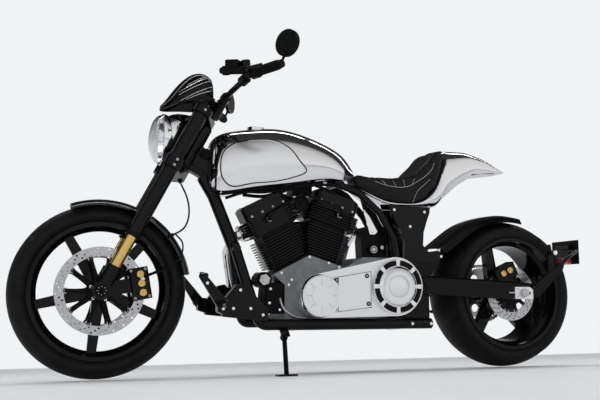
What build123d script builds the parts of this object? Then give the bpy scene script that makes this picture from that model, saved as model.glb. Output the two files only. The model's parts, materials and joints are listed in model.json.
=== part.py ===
from build123d import *
import os
from math import acos, cos, pi, radians, sin, tan

# A two-wheeled cruiser with a big air-cooled V-twin, in millimetres.
# Everything is modelled upright: X forward, Y left, Z up, with the rear tyre's contact at the
# origin. write() then leans the whole machine onto its side stand.

# ---- driving dimensions: stance ----------------------------------------------------------
wheelbase = 1734.0
lean_angle = 5.0
origin_x = 840.0
origin_y = 105.11
fit = 0.15
seat_gap = 0.3
running_gap = 5.0
running_fit = 0.05

# ---- driving dimensions: wheels ----------------------------------------------------------
front_bead = 241.3
front_section = 83.7
front_radius = front_bead + front_section
front_width = 120.0
front_rim_width = 94.0
front_crown = 62.0
rear_bead = 228.6
rear_section = 96.4
rear_radius = rear_bead + rear_section
rear_width = 240.0
rear_rim_width = 218.0
rear_crown = 180.0
flange_height = 11.0
flange_wall = 5.0
rim_wall = 7.0
spoke_count = 5
front_disc_radius = 160.0
rear_disc_radius = 118.0
rear_disc_y = 92.0
disc_wall = 5.0
disc_band = 34.0
rear_disc_band = 36.0
drilling_radius = 3.6
drilling_count = 24
tab_count = 10
front_hub = 32.0
rear_hub = 40.0
axle_radius = 12.5
axle_fit = 0.5
fender_gap = 16.0

# ---- driving dimensions: steering --------------------------------------------------------
rake = 27.0
fork_offset = 45.0
fork_half = 105.0
disc_inset = 37.0
front_disc_y = fork_half - disc_inset
outer_radius = 29.0
inner_radius = 21.5
foot_radius = 27.0
foot_top = 99.0
outer_low = 226.0
fork_top = 790.0
lower_clamp_low = 515.0
lower_clamp_high = 560.0
upper_clamp_low = 757.0
upper_clamp_high = 787.0
stem_radius = 15.0
head_tube_radius = 34.0
head_tube_bore = 20.0
bearing_height = 18.0

# ---- driving dimensions: frame and drive --------------------------------------------------
frame_tube = 21.0
rail_half = 130.0
rail_height = 200.0
plate_in = 74.0
plate_out = 94.0
pivot = (455.0, 355.0)
arm_in = 146.0
arm_out = 174.0
crank = (927.0, 310.0)
clutch = (606.0, 348.0)
output_shaft = (566.0, 352.0)
v_angle = 45.0
engine_tilt = 5.0
case_left = rail_half - frame_tube - 3.0
primary_out = 205.0
slot_count = 8
chain_y = -133.0
chain_width = 15.0
chain_wall = 14.0
rear_sprocket = 118.0
front_sprocket = 53.0
tooth_height = 6.0
rear_teeth = 50
link_pitch = 15.9
chain_gap = 1.5

# The chassis is drawn with its rear axle at a set height, so a taller tyre puts the ground lower.
rear_axle = (0.0, 325.0)
ground = rear_axle[1] - rear_radius
front_axle = (wheelbase, ground + front_radius)
ride_lift = rear_crown * (1 - cos(radians(lean_angle))) - ground * cos(radians(lean_angle))
fork_u = (-sin(radians(rake)), 0.0, cos(radians(rake)))
steer_x = (cos(radians(rake)), 0.0, sin(radians(rake)))
steer_foot = (
    front_axle[0] - fork_offset * steer_x[0],
    0.0,
    front_axle[1] - fork_offset * steer_x[2],
)
steering = Plane(origin=steer_foot, x_dir=steer_x, z_dir=fork_u)
BASE = (Align.CENTER, Align.CENTER, Align.MIN)


def ahead(x, z, *rest):
    """A side-view point given from the foot of the steering axis; with three values, (x, y, z)."""
    if rest:
        return (steer_foot[0] + x, z, steer_foot[2] + rest[0])
    return (steer_foot[0] + x, steer_foot[2] + z)


def leaned(x, y, z):
    """A point of the upright machine as it stands on its side stand."""
    c = cos(radians(lean_angle))
    s = sin(radians(lean_angle))
    return (x - origin_x, y * c + z * s - origin_y, z * c - y * s + ride_lift)


def write(name, shape):
    """Writes one sub-part, leaned over with the rest."""
    stand = Pos(-origin_x, -origin_y, ride_lift) * Rot(-lean_angle, 0, 0)
    placed = stand * shape
    placed.label = name
    export_step(placed, f"parts/{name}.step")


def outline(points, rounding=0.0):
    """A flat face through points, its corners rounded."""
    face = make_face(Polyline(*points, close=True))
    if rounding:
        return fillet(face.vertices(), rounding)
    return face


def side_plate(points, y_low, y_high, rounding=0.0):
    """A plate cut to a side-view outline of (x, z) points, between two lateral planes."""
    plane = Plane(origin=(0, y_high, 0), x_dir=(1, 0, 0), z_dir=(0, -1, 0))
    return extrude(plane * outline(points, rounding), y_high - y_low)


def side_face(sketch, y_low, y_high):
    """Extrudes a side-view sketch between two lateral planes."""
    plane = Plane(origin=(0, y_high, 0), x_dir=(1, 0, 0), z_dir=(0, -1, 0))
    return extrude(plane * sketch, y_high - y_low)


def cross_bar(x, z, radius, y_low, y_high):
    """A round bar along Y."""
    return side_face(Pos(x, z) * Circle(radius), y_low, y_high)


def rod(start, end, radius):
    """A straight round bar between two points."""
    line = Line(start, end)
    return extrude(Plane(origin=start, z_dir=line % 0) * Circle(radius), line.length)


def tube(points, radius, bend):
    """A round bar bent along a route with tangent arcs."""
    path = FilletPolyline(*points, radius=bend)
    return sweep(Plane(origin=path @ 0, z_dir=path % 0) * Circle(radius), path=path)


def turned(points, x, z):
    """A body turned about a lateral axis at (x, z), from (radius, y) points."""
    return Pos(x, 0, z) * revolve(outline(points), axis=Axis.Y)


def mirrored(shape):
    """The same piece on the right-hand side."""
    return mirror(shape, about=Plane.XZ)


def both_sides(shape):
    """A left-hand piece with its right-hand twin."""
    return shape + mirrored(shape)


# ---- wheels --------------------------------------------------------------------------------
def tyre(radius, width, bead, rim_width, crown):
    """A hollow tyre: round tread, bulged sidewalls and beads that sit inside the rim flanges."""
    tread_half = width * 0.47
    shoulder = radius - crown + (crown**2 - tread_half**2) ** 0.5
    bead_out = rim_width / 2 - flange_wall - seat_gap
    bead_in = bead_out - 11.0
    bead_low = bead + seat_gap
    bead_high = bead + flange_height + 2.0
    bulge = ((shoulder + bead_high) / 2, width / 2)
    case = 9.0
    tread = ThreePointArc((shoulder, -tread_half), (radius, 0), (shoulder, tread_half))
    wall = ThreePointArc((shoulder, tread_half), bulge, (bead_high, bead_out))
    other = ThreePointArc((bead_high, -bead_out), (bulge[0], -bulge[1]), (shoulder, -tread_half))
    foot = Polyline((bead_high, bead_out), (bead_low, bead_out), (bead_low, -bead_out), (bead_high, -bead_out))
    casing = revolve(make_face([tread, wall, foot, other]), axis=Axis.Y)
    half = [(bead_low - case, bead_in), (bead_high, bead_in), (bulge[0], bulge[1] - case)]
    half.append((shoulder - case, tread_half - case))
    under = [(r, -y) for r, y in reversed(half)]
    hollow = revolve(outline(half + [(radius - 1.6 * case, 0)] + under), axis=Axis.Y)
    return casing - hollow


def rim_barrel(bead, rim_width, well):
    """The rolled barrel of a rim with its flanges, bead seats and drop centre."""
    edge = rim_width / 2
    lip = edge - flange_wall
    top = [(bead + flange_height, edge), (bead + flange_height, lip), (bead, lip), (bead, lip - 20.0)]
    top.append((bead - well, lip - 34.0))
    under = [(bead - well - rim_wall, lip - 36.0), (bead - rim_wall, lip - 20.0)]
    under.append((bead - rim_wall + 4.0, edge))
    right = [(r, -y) for r, y in reversed(top)]
    back = [(r, -y) for r, y in under]
    return revolve(outline(top + right + list(reversed(back)) + under), axis=Axis.Y)


def spokes(bead, hub_radius, root, tip, y_mid, depth, first):
    """Cast spokes that taper from the hub to the barrel."""
    reach = bead - rim_wall - 2.0
    shape = Part()
    for i in range(spoke_count):
        inner = hub_radius - 8.0
        blade = [(inner, -root / 2), (reach, -tip / 2), (reach, tip / 2), (inner, root / 2)]
        solid = side_face(outline(blade), y_mid - depth / 2, y_mid + depth / 2)
        shape += Rot(0, first + i * 360.0 / spoke_count, 0) * solid
    return shape


def disc(radius, band, y_mid, hub_radius):
    """A drilled brake disc: a ring with round tabs, carried by a spider on the hub."""
    low, high = y_mid - disc_wall / 2, y_mid + disc_wall / 2
    root = radius - band
    face = Circle(radius) - Circle(root)
    face += PolarLocations(root - 3.0, tab_count) * Circle(11.0)
    face += Circle(hub_radius + 12.0)
    arm = Pos((root + hub_radius) / 2 + 2.0, 0) * Rectangle(root - hub_radius, 12.0)
    for place in PolarLocations(0.0, tab_count):
        face += place * arm
    face -= Circle(axle_radius + 9.0)
    step = 360.0 / drilling_count
    for share, turn in ((0.24, 0.0), (0.5, step / 3), (0.76, 2 * step / 3)):
        drillings = PolarLocations(root + share * band, drilling_count, start_angle=turn)
        face -= drillings * Circle(drilling_radius)
    return side_face(face, low, high)


def toothed_wheel(radius, count):
    """A sprocket's face with a short tapered tooth for each link."""
    points = []
    for i in range(count):
        low = radius - tooth_height
        for share, size in ((-0.42, low), (-0.16, radius), (0.16, radius), (0.42, low)):
            angle = 2 * pi * (i + share) / count
            points.append((size * cos(angle), size * sin(angle)))
    return outline(points)


def front_wheel():
    x, z = front_axle
    hub = front_hub
    hub_half = front_disc_y - disc_wall / 2
    rim = rim_barrel(front_bead, front_rim_width, 14.0)
    rim += cross_bar(0, 0, hub, -hub_half, hub_half)
    rim += spokes(front_bead, hub, 46.0, 34.0, 0.0, 26.0, 85.0)
    rim -= cross_bar(0, 0, axle_radius + axle_fit, -hub_half, hub_half)
    write("front_rim", Pos(x, 0, z) * rim)
    rubber = tyre(front_radius, front_width, front_bead, front_rim_width, front_crown)
    write("front_tyre", Pos(x, 0, z) * rubber)
    plate = disc(front_disc_radius, disc_band, front_disc_y, hub)
    write("front_discs", both_sides(Pos(x, 0, z) * plate))


def rear_wheel():
    x, z = rear_axle
    hub = rear_hub
    left = rear_disc_y - disc_wall / 2
    right = chain_y + 3.0
    rim = rim_barrel(rear_bead, rear_rim_width, 14.0)
    rim += cross_bar(0, 0, hub, right, left)
    rim += spokes(rear_bead - 8.0, hub, 56.0, 40.0, -40.0, 34.0, 62.0)
    rim -= cross_bar(0, 0, axle_radius + axle_fit, right, left)
    write("rear_rim", Pos(x, 0, z) * rim)
    write("rear_tyre", Pos(x, 0, z) * tyre(rear_radius, rear_width, rear_bead, rear_rim_width, rear_crown))
    write("rear_disc", Pos(x, 0, z) * disc(rear_disc_radius, rear_disc_band, rear_disc_y, hub))
    toothed = toothed_wheel(rear_sprocket, rear_teeth) - Circle(axle_radius + 9.0)
    for i in range(6):
        toothed -= Rot(0, 0, i * 60.0) * Pos(rear_sprocket * 0.66, 0) * Circle(18.0)
    write("rear_sprocket", Pos(x, 0, z) * side_face(toothed, chain_y - 3.0, chain_y + 3.0))


# ---- steering --------------------------------------------------------------------------------
def fork():
    leg = steering.location * Pos(fork_offset, fork_half, 0)
    outer = Pos(0, 0, outer_low) * Cylinder(outer_radius, fork_top - outer_low, align=BASE)
    outer -= Pos(0, 0, outer_low) * Cylinder(inner_radius + seat_gap, 200.0, align=BASE)
    write("fork_outer", both_sides(leg * outer))
    length = outer_low + 180.0 - foot_top
    inner = Pos(0, 0, foot_top) * Cylinder(inner_radius, length, align=BASE)
    write("fork_inner", both_sides(leg * inner))
    foot = Pos(0, 0, 30.0) * Cylinder(foot_radius, foot_top - 30.0, align=BASE)
    foot += Rot(90, 0, 0) * Cylinder(33.0, 2 * foot_radius - 8.0)
    foot = leg * foot
    lug = Pos(62.35, fork_half - 17.0, 0) * Box(84.7, 14.0, 52.0)
    foot += Pos(front_axle[0], 0, front_axle[1]) * Rot(0, -169.0, 0) * lug
    foot -= leg * Rot(90, 0, 0) * Cylinder(axle_radius + fit, 120.0)
    write("fork_feet", both_sides(foot))
    reach = fork_half + 32.0
    axle = Rot(90, 0, 0) * Cylinder(axle_radius, 2 * reach)
    axle += Pos(0, reach - 4.0, 0) * Rot(90, 0, 0) * Cylinder(20.0, 8.0)
    axle += Pos(0, 4.0 - reach, 0) * Rot(90, 0, 0) * Cylinder(20.0, 8.0)
    write("front_axle", steering.location * Pos(fork_offset, 0, 0) * axle)


def clamp(low, high, lug, neck):
    """A triple clamp: two fork bores joined round the steering stem."""
    face = Sketch()
    for s in (1, -1):
        eye = Pos(fork_offset, s * fork_half) * CenterArc((0, 0), lug, 0, 360)
        face += make_hull(eye.edges() + CenterArc((0, 0), neck, 0, 360).edges())
    for s in (1, -1):
        face -= Pos(fork_offset, s * fork_half) * Circle(outer_radius + fit)
    return Pos(0, 0, low) * extrude(face, high - low)


def clamps():
    body = clamp(lower_clamp_low, lower_clamp_high, outer_radius + 10.0, 34.0)
    stem = Cylinder(stem_radius, upper_clamp_low - lower_clamp_high, align=BASE)
    body += Pos(0, 0, lower_clamp_high) * stem
    for level in (lower_clamp_high + running_gap, upper_clamp_low - running_gap - bearing_height):
        body += Pos(0, 0, level) * Cylinder(head_tube_bore - running_fit, bearing_height, align=BASE)
    posts = Part()
    for s in (1, -1):
        post = Rot(0, 24.0, 0) * Cylinder(6.0, 64.0, align=BASE)
        posts += Pos(30.0, s * 22.0, lower_clamp_high - 10.0) * post
    union = rod(along(hose_points[1], hose_points[0], 55.0), hose_points[0], 6.5)
    lamp = Pos(lamp_centre[0], 0, lamp_centre[1]) * revolve(bowl(seat_gap), axis=Axis.X)
    posts = steering.location * posts - lamp
    write("lower_clamp", steering.location * body + posts + union)
    upper = clamp(upper_clamp_low, upper_clamp_high, outer_radius + 9.0, 30.0)
    write("upper_clamp", steering.location * upper)


lamp_centre = ahead(-194.0, 607.5)
lamp_radius = 88.0
lamp_depth = 62.0
lamp_wall = 4.0


def bowl(grow):
    """Half of the headlamp bowl's solid section, from its back to its rim."""
    line = Spline((-lamp_depth - grow, 20.0), (-0.62 * lamp_depth, 60.0 + grow), (0, lamp_radius + grow),
                  tangents=((0.2, 1), (1, 0.35)))
    back = -lamp_depth - grow
    return make_face([line, Polyline((0, lamp_radius + grow), (0, 0), (back, 0), (back, 20.0))])


def headlamp():
    x, z = lamp_centre
    shell = revolve(bowl(0.0), axis=Axis.X) - revolve(bowl(-lamp_wall), axis=Axis.X)
    write("headlamp_shell", Pos(x, 0, z) * shell)
    write("headlamp_lens", Pos(x + seat_gap, 0, z) * dome(lamp_radius, 34.0, 5.0))


def dome(radius, height, wall):
    """A clear cap: part of a thin ball, open at the back, bulging along +X."""
    ball = (radius**2 + height**2) / (2 * height)
    centre = height - ball
    edges = []
    for size in (ball, ball - wall):
        edge = acos(-centre / size)
        half = (centre + size * cos(edge / 2), size * sin(edge / 2))
        edges.append(ThreePointArc((0, size * sin(edge)), half, (centre + size, 0)))
    outer, inner = edges
    rim = Line(outer @ 0, inner @ 0)
    tip = Line(outer @ 1, inner @ 1)
    return revolve(make_face([outer, inner, rim, tip]), axis=Axis.X)


def arch(x, half, low, high, wall):
    """One upright section of the screen: an arch of constant wall."""
    plane = Plane(origin=(x, 0, 0), x_dir=(0, 1, 0), z_dir=(1, 0, 0))
    outer = ThreePointArc((-half, low), (0, high), (half, low))
    inner = ThreePointArc((half - wall, low), (0, high - wall), (wall - half, low))
    left = Line((half, low), (half - wall, low))
    right = Line((wall - half, low), (-half, low))
    return plane * make_face([outer, left, inner, right])


def cowl():
    sections = [(-354.0, 104.0, 757.5, 868.0), (-318.0, 103.0, 755.0, 886.0), (-262.0, 90.0, 749.5, 864.0)]
    sections += [(-210.0, 62.0, 738.0, 805.0), (-164.0, 16.0, 727.0, 743.0)]
    skin = loft([arch(x, h, low, high, 4.0) for x, h, low, high in sections])
    skin = Pos(*steer_foot) * skin
    for s in (1, -1):
        post = Pos(fork_offset, s * 99.0, fork_top + seat_gap) * Cylinder(5.0, 44.0, align=BASE)
        skin += steering.location * post
    write("cowl", skin)


bar_radius = 11.1
bar_points = [
    ahead(-413.0, 0.0, 783.5), ahead(-413.0, 160.0, 783.5),
    ahead(-451.0, 292.0, 817.5), ahead(-518.0, 424.0, 820.5),
]
riser_y = 55.0


def along(start, end, distance):
    """The point a distance from start towards end."""
    span = Vector(*end) - Vector(*start)
    point = Vector(*start) + span.normalized() * distance
    return (point.X, point.Y, point.Z)


def handlebar():
    half = tube(bar_points, bar_radius, 45.0)
    write("handlebar", half + mirrored(half))
    middle = bar_points[0]
    clamp_top = Pos(middle[0], riser_y, middle[2]) * Rot(90, 0, 0) * Cylinder(20.0, 34.0)
    foot = steering.location * Pos(-12.0, riser_y, upper_clamp_high) * Cylinder(17.0, 92.0, align=BASE)
    riser = foot + clamp_top - rod(middle, bar_points[1], bar_radius + fit)
    inner, tip = bar_points[2], bar_points[3]
    grip_start = along(tip, inner, 118.0)
    grip = rod(grip_start, along(tip, inner, -3.0), 17.0)
    grip -= rod(along(tip, inner, 130.0), tip, bar_radius + fit)
    perch_low = along(tip, inner, 140.0)
    perch_high = along(tip, inner, 121.0)
    perch = rod(perch_low, perch_high, 17.0)
    lever_root = (perch_high[0] + 34.0, perch_high[1] + 4.0, perch_high[2])
    lever_bend = (lever_root[0] + 12.0, lever_root[1] + 34.0, lever_root[2])
    lever_tip = (tip[0] + 62.0, tip[1] - 6.0, tip[2] - 4.0)
    pivot_start = (perch_low[0] + 12.0, perch_low[1] + 8.0, perch_low[2])
    perch += rod(pivot_start, lever_root, 9.0)
    perch -= rod(along(tip, inner, 147.0), tip, bar_radius + fit)
    lever = tube([lever_root, lever_bend, lever_tip], 5.0, 12.0)
    cup_low = (perch_low[0] + 22.0, perch_low[1], perch_low[2] + 12.0)
    perch += rod(cup_low, (cup_low[0] + 4.0, cup_low[1], cup_low[2] + 34.0), 17.0)
    outer_end, inner_end = along(inner, bar_points[1], 32.0), along(inner, bar_points[1], 62.0)
    perch += rod(outer_end, inner_end, 20.0) - rod(outer_end, inner_end, bar_radius + fit)
    stem = ahead(-536.0, 434.0, 853.5)
    mirror_centre = ahead(-548.0, 430.0, 901.5)
    turn = Rot(0, 0, 34.0) * Rot(0, 90, 0)
    glass = Pos(*mirror_centre) * turn * Cylinder(50.0, 14.0)
    post = rod(along(tip, inner, -10.0), stem, 5.0)
    knob = rod(along(tip, inner, -3.3), along(tip, inner, -17.0), 15.0)
    head = knob + post + rod(stem, mirror_centre, 5.0) + glass
    for name, piece in (("risers", riser), ("grips", grip), ("levers", perch + lever), ("mirrors", head)):
        write(name, both_sides(piece))


def gauge():
    cup = steering.location * Pos(10.0, 0, upper_clamp_high + 60.0) * Rot(0, -12.0, 0) * Cylinder(34.0, 30.0)
    foot = steering.location * Pos(10.0, 0, upper_clamp_high) * Cylinder(12.0, 50.0, align=BASE)
    write("gauge", cup + foot)


def front_brake():
    x, z = front_axle
    turn = Pos(x, 0, z) * Rot(0, -169.0, 0)
    body = Pos(141.0, front_disc_y + 2.0, 0) * Box(72.0, 54.0, 118.0)
    body = chamfer(body.edges().filter_by(Axis.Z), 6.0)
    body -= Pos(123.0, front_disc_y, 0) * Box(90.0, disc_wall + 2 * running_gap, 140.0)
    write("front_calipers", both_sides(turn * body))


def front_fender():
    x, z = front_axle
    half = fork_half - outer_radius - 4.0
    tall = front_radius + fender_gap
    drop, wall = 24.0, 3.0
    outer = ThreePointArc((tall - drop, -half), (tall, 0), (tall - drop, half))
    inner = ThreePointArc((tall - drop, wall - half), (tall - wall, 0), (tall - drop, half - wall))
    left = Line((tall - drop, half), (tall - drop, half - wall))
    right = Line((tall - drop, -half), (tall - drop, wall - half))
    skin = revolve(make_face([outer, inner, left, right]), axis=Axis.Y, revolution_arc=99.0)
    skin = Pos(x, 0, z) * Rot(0, -169.0, 0) * skin
    for s in (1, -1):
        pad = Pos(fork_offset, s * (fork_half - outer_radius - seat_gap - 4.5), 327.0) * Box(30.0, 9.0, 18.0)
        skin += steering.location * pad
    skin += rod(hose_points[-1], along(hose_points[-2], hose_points[-1], 50.0), 6.5)
    write("front_fender", skin)


def smooth_radii(points):
    """The largest arc that each corner of a hose's route allows."""
    radii = []
    for before, corner, after in zip(points, points[1:], points[2:]):
        one = Vector(*corner) - Vector(*before)
        two = Vector(*after) - Vector(*corner)
        radii.append(0.45 * min(one.length, two.length) / tan(radians(one.get_angle(two) / 2)))
    return radii


hose_radius = 3.5
hose_route = [
    (-252.0, 0, 441.5), (-270.0, 2.0, 407.5), (-283.0, 5.0, 371.5), (-288.0, 9.0, 333.5), (-284.0, 14.0, 296.5),
    (-270.0, 22.0, 265.5), (-248.0, 30.0, 246.5), (-224.0, 36.0, 235.5),
]
hose_points = [ahead(*point) for point in hose_route]


# ---- frame ------------------------------------------------------------------------------------
spine_points = [ahead(-302.0, 0, 563.5), ahead(-404.0, 0, 501.5), ahead(-574.0, 0, 497.5), (790.0, 0, 800.0)]
spine_radius = 24.0
down_radius = 25.0
down_foot = (1222.0, 0, 494.0)
down_points = [ahead(-268.0, 0, 514.0), ahead(-330.0, 0, 484.0), ahead(-384.0, 0, 397.0), down_foot]
cradle_points = [
    (down_foot[0] + 2.0, 14.0, down_foot[2] + 12.0), (1162.0, 120.0, 240.0), (1146.0, rail_half, rail_height),
    (420.0, rail_half, rail_height),
]
web_outline = [ahead(-274, 537.5), ahead(-320, 600.5), ahead(-424, 510.5), ahead(-364, 455.5)]
tunnel_outline = [ahead(-254, 537.5), ahead(-310, 620.5), ahead(-439, 525.5), ahead(-364, 395.5)]


def frame():
    head = Pos(0, 0, lower_clamp_high + running_gap)
    tall = upper_clamp_low - lower_clamp_high - 2 * running_gap
    tube_head = steering.location * head * Cylinder(head_tube_radius, tall, align=BASE)
    spine = tube(spine_points, spine_radius, 60.0)
    bore = steering.location * Pos(0, 0, lower_clamp_high) * Cylinder(head_tube_bore, tall + 20.0, align=BASE)
    yoke = Pos(790.0, 0, 770.0) * Box(40.0, 110.0, 24.0)
    web = side_plate(web_outline, -22.0, 22.0)
    rear = [(790.0, 42.0, 770.0), (712.0, 64.0, 738.0), (622.0, 84.0, 652.0), (564.0, 84.0, 550.0)]
    rear.append((548.0, 84.0, 455.0))
    bow = tube(rear, 15.0, 40.0) - Pos(550.0, 84.0, 466.0 + seat_gap - 30.0) * Box(60.0, 60.0, 60.0)
    backbone = tube_head + spine + web + yoke + both_sides(bow) - bore
    write("frame_backbone", backbone)
    side = tube(cradle_points, frame_tube, 34.0)
    side += Pos(*cradle_points[0]) * Sphere(frame_tube)
    down = tube(down_points, down_radius, 60.0) + cross_bar(down_foot[0], down_foot[2], 17.0, -44.0, 44.0)
    swing = steering.location * Pos(0, 0, lower_clamp_low)
    swing = swing * Cylinder(80.0, lower_clamp_high + running_gap - lower_clamp_low, align=BASE)
    write("frame_cradle", both_sides(side) + stand_lug() + down - tube_head - web - spine - swing)
    column = [(576, 686), (392, 686), (394, 662), (408, 626), (424, 578), (428, 523), (402, 496), (344, 505)]
    column += [(317, 525), (311, 514), (345, 478), (358, 440), (386, 414), (404, 360), (404, 187)]
    column += [(520, 187), (512, 531), (523, 568), (566, 636)]
    plate = side_plate(column, plate_in, plate_out, 4.0)
    foot = Box(80.0, 28.0, 26.0, align=(Align.CENTER, Align.MIN, Align.CENTER))
    plate += Pos(462.0, plate_out - 2.0, rail_height) * foot
    plate -= rod((400.0, rail_half, rail_height), (560.0, rail_half, rail_height), frame_tube + fit)
    plate -= cross_bar(*pivot, 12.0 + fit, plate_in, plate_out)
    ties = cross_bar(500.0, 640.0, tie_radius, -plate_in, plate_in)
    ties += cross_bar(*shock_eye, tie_radius, -plate_in, plate_in)
    write("rear_frame", both_sides(plate) + ties)


shock_low = (372.0, 0, pivot[1] + 71.0)
shock_high = (462.0, 0, 642.0)
shock_eye = (440.0, 660.0)
shock_bracket = [(352, pivot[1] + 23), (352, pivot[1] + 70), (392, pivot[1] + 70), (392, pivot[1] + 23)]
coil_turns = 7
coil_pitch = 24.0
tie_radius = 14.0
block_wall = 14.0
arm_bevel = 8.0


def swingarm():
    x, z = pivot
    rear = rear_axle[1]
    arm = [(x + 18.0, z + 36.0), (x - 20.0, z + 38.0), (29.0, rear + 49.0), (-62.0, rear + 41.0)]
    arm += [(-62.0, rear - 23.0), (33.0, rear - 27.0)]
    arm += [(x - 20.0, z - 38.0), (x + 18.0, z - 36.0)]
    side = side_plate(arm, arm_in, arm_out, 12.0)
    side = chamfer(side.faces().sort_by(Axis.Y)[-1].edges(), arm_bevel)
    side += cross_bar(x, z, 31.0, plate_out + 2.0, arm_out)
    slot = SlotCenterToCenter(40.0, 2 * (axle_radius + seat_gap))
    side -= side_face(Pos(*rear_axle) * slot, arm_in, arm_out)
    both = side + mirrored(side) + cross_bar(368.0, z + 4.0, 24.0, -arm_in, arm_in)
    both += side_plate(shock_bracket, -16.0, 16.0)
    write("swingarm", both + cross_bar(x, z, 12.0, -arm_out - 6.0, arm_out + 6.0))
    axle = cross_bar(*rear_axle, axle_radius, -198.0, 198.0)
    axle += cross_bar(*rear_axle, 20.0, 122.0 + seat_gap, arm_in - seat_gap)
    write("rear_axle", axle)
    profile = [(-45, -24), (45, -24), (45, 26), (-30, 26), (-45, 15)]
    block = side_plate(profile, arm_out, arm_out + block_wall, 3.0)
    block -= cross_bar(0, 0, axle_radius + fit, arm_out, arm_out + block_wall)
    block -= cross_bar(-28.0, 0, 6.0, arm_out, arm_out + block_wall)
    block = Pos(rear_axle[0], 0, rear_axle[1]) * block
    write("axle_blocks", both_sides(block))
    damper = rod(shock_low, shock_high, 11.0)
    damper += rod(along(shock_low, shock_high, 24.0), along(shock_low, shock_high, 200.0), 20.0)
    for i in range(coil_turns):
        low = along(shock_low, shock_high, 40.0 + coil_pitch * i)
        damper += rod(low, along(low, shock_high, 9.0), 31.0)
    damper -= cross_bar(*shock_eye, tie_radius + fit, -60, 60)
    write("rear_shock", damper - side_plate(shock_bracket, -40.0, 40.0))


def rear_brake():
    turn = Pos(rear_axle[0], 0, rear_axle[1]) * Rot(0, -66.0, 0)
    body = Pos(96.0, rear_disc_y + 5.0, 0) * Box(62.0, 54.0, 104.0)
    body -= Pos(76.0, rear_disc_y, 0) * Box(94.0, disc_wall + 2 * running_gap, 130.0)
    arm = Pos(42.0, 117.0, 0) * Box(84.0, 10.0, 44.0)
    ring = Rot(90, 0, 0) * Pos(0, 0, -117.0) * Cylinder(26.0, 10.0)
    bore = Rot(90, 0, 0) * Pos(0, 0, -117.0) * Cylinder(axle_radius + fit, 12.0)
    write("rear_caliper", turn * (body + arm + ring - bore))


def rear_fender():
    x, z = 20.0, rear_axle[1] - 40.0
    tall, wall = rear_radius + 60.0, 4.0
    half = [(tall, 0), (tall - 2.0, 60.0), (tall - 12.0, 102.0), (tall - 34.0, 122.0)]
    ring = [(r, -y) for r, y in reversed(half[1:])] + half
    inside = [(r - wall, y * (1 - wall / 122.0)) for r, y in ring]
    section = outline(ring + list(reversed(inside)))
    skin = revolve(section, axis=Axis.Y, revolution_arc=48.0)
    skin = Pos(x, 0, z) * Rot(0, -101.3, 0) * skin
    flat = Pos(x, 0, z) * Rot(0, -53.3, 0) * extrude(section, 128.0, dir=(0, 0, -1))
    write("rear_fender", skin + flat)


# ---- engine ---------------------------------------------------------------------------------
fin_pitch = 11.0
fin_wall = 4.0
barrel_low = 148.0
barrel_high = 298.0
head_high = 372.0
rocker_high = 432.0


port_reach = 112.0
port_y = -46.0
port_height = 340.0
port_radius = 29.0
barrel_radius = 55.0
barrel_fin = (98.0, 78.0)
head_fin = (110.0, 82.0)
front_lean = v_angle / 2 + engine_tilt
rear_lean = engine_tilt - v_angle / 2
case_right = -88.0
cam_chest = (crank[0] + 6.0, crank[1] + 20.0)
cam_chest_radius = 86.0
cam_chest_out = -126.0
cam_boss_radius = 62.0
cam_boss_out = -134.0
gearbox_right = -100.0
shaft_radius = 22.0
primary_front = 84.0
primary_rear = 116.0
primary_face = primary_out - 12.0
pushrod_radius = 9.0
pushrod_half = 20.0
pushrod_foot_y = -112.0
pushrod_top_y = -100.0
throat_height = 372.0
throat_radius = 26.0
runner_radius = 20.0
runner_y = -36.0
cleaner_radius = 66.0
cleaner_in = -155.0
cleaner_out = -205.0
electrics_in = -24.0


def cylinder_plane(angle):
    """A frame on a cylinder: its Z runs up the bore, its X away from the crank to the front."""
    a = radians(angle)
    return Plane(origin=(crank[0], 0, crank[1]), x_dir=(cos(a), 0, -sin(a)), z_dir=(sin(a), 0, cos(a)))


def fin(height, outer, lateral, flip):
    """One cooling fin, cut back where the two cylinders meet in the V."""
    inner = min(outer, height * tan(radians(v_angle / 2)) - 3.0)
    width = outer + inner
    middle = flip * (outer - inner) / 2
    plate = RectangleRounded(width, 2 * lateral, 22.0)
    return Pos(middle, 0, height) * extrude(plate, fin_wall)


def cylinder(name, angle, flip):
    """A finned barrel, its head, the exhaust port and the rocker box, built up along the bore."""
    body = Pos(0, 0, barrel_low) * Cylinder(barrel_radius, rocker_high - barrel_low - 60.0, align=BASE)
    count = int((barrel_high - barrel_low - 20.0) / fin_pitch)
    for i in range(count):
        body += fin(barrel_low + 16.0 + i * fin_pitch, *barrel_fin, flip)
    for i in range(int((head_high - barrel_high) / fin_pitch)):
        body += fin(barrel_high + 4.0 + i * fin_pitch, *head_fin, flip)
    core = extrude(RectangleRounded(170.0, 130.0, 26.0), head_high - barrel_high)
    port = Pos(flip * port_reach / 2, port_y, port_height) * Rot(0, 90, 0) * Cylinder(port_radius, port_reach)
    cap_wall = 6.0
    cover = extrude(RectangleRounded(192.0, 144.0, 30.0), rocker_high - head_high - cap_wall)
    cap = extrude(RectangleRounded(176.0, 128.0, 24.0), cap_wall)
    body += Pos(flip * 4.0, 0, barrel_high) * core
    body += port
    body += Pos(flip * 2.0, 0, head_high) * cover
    body += Pos(flip * 2.0, 0, rocker_high - cap_wall) * cap
    write(name, cylinder_plane(angle).location * body)


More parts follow.
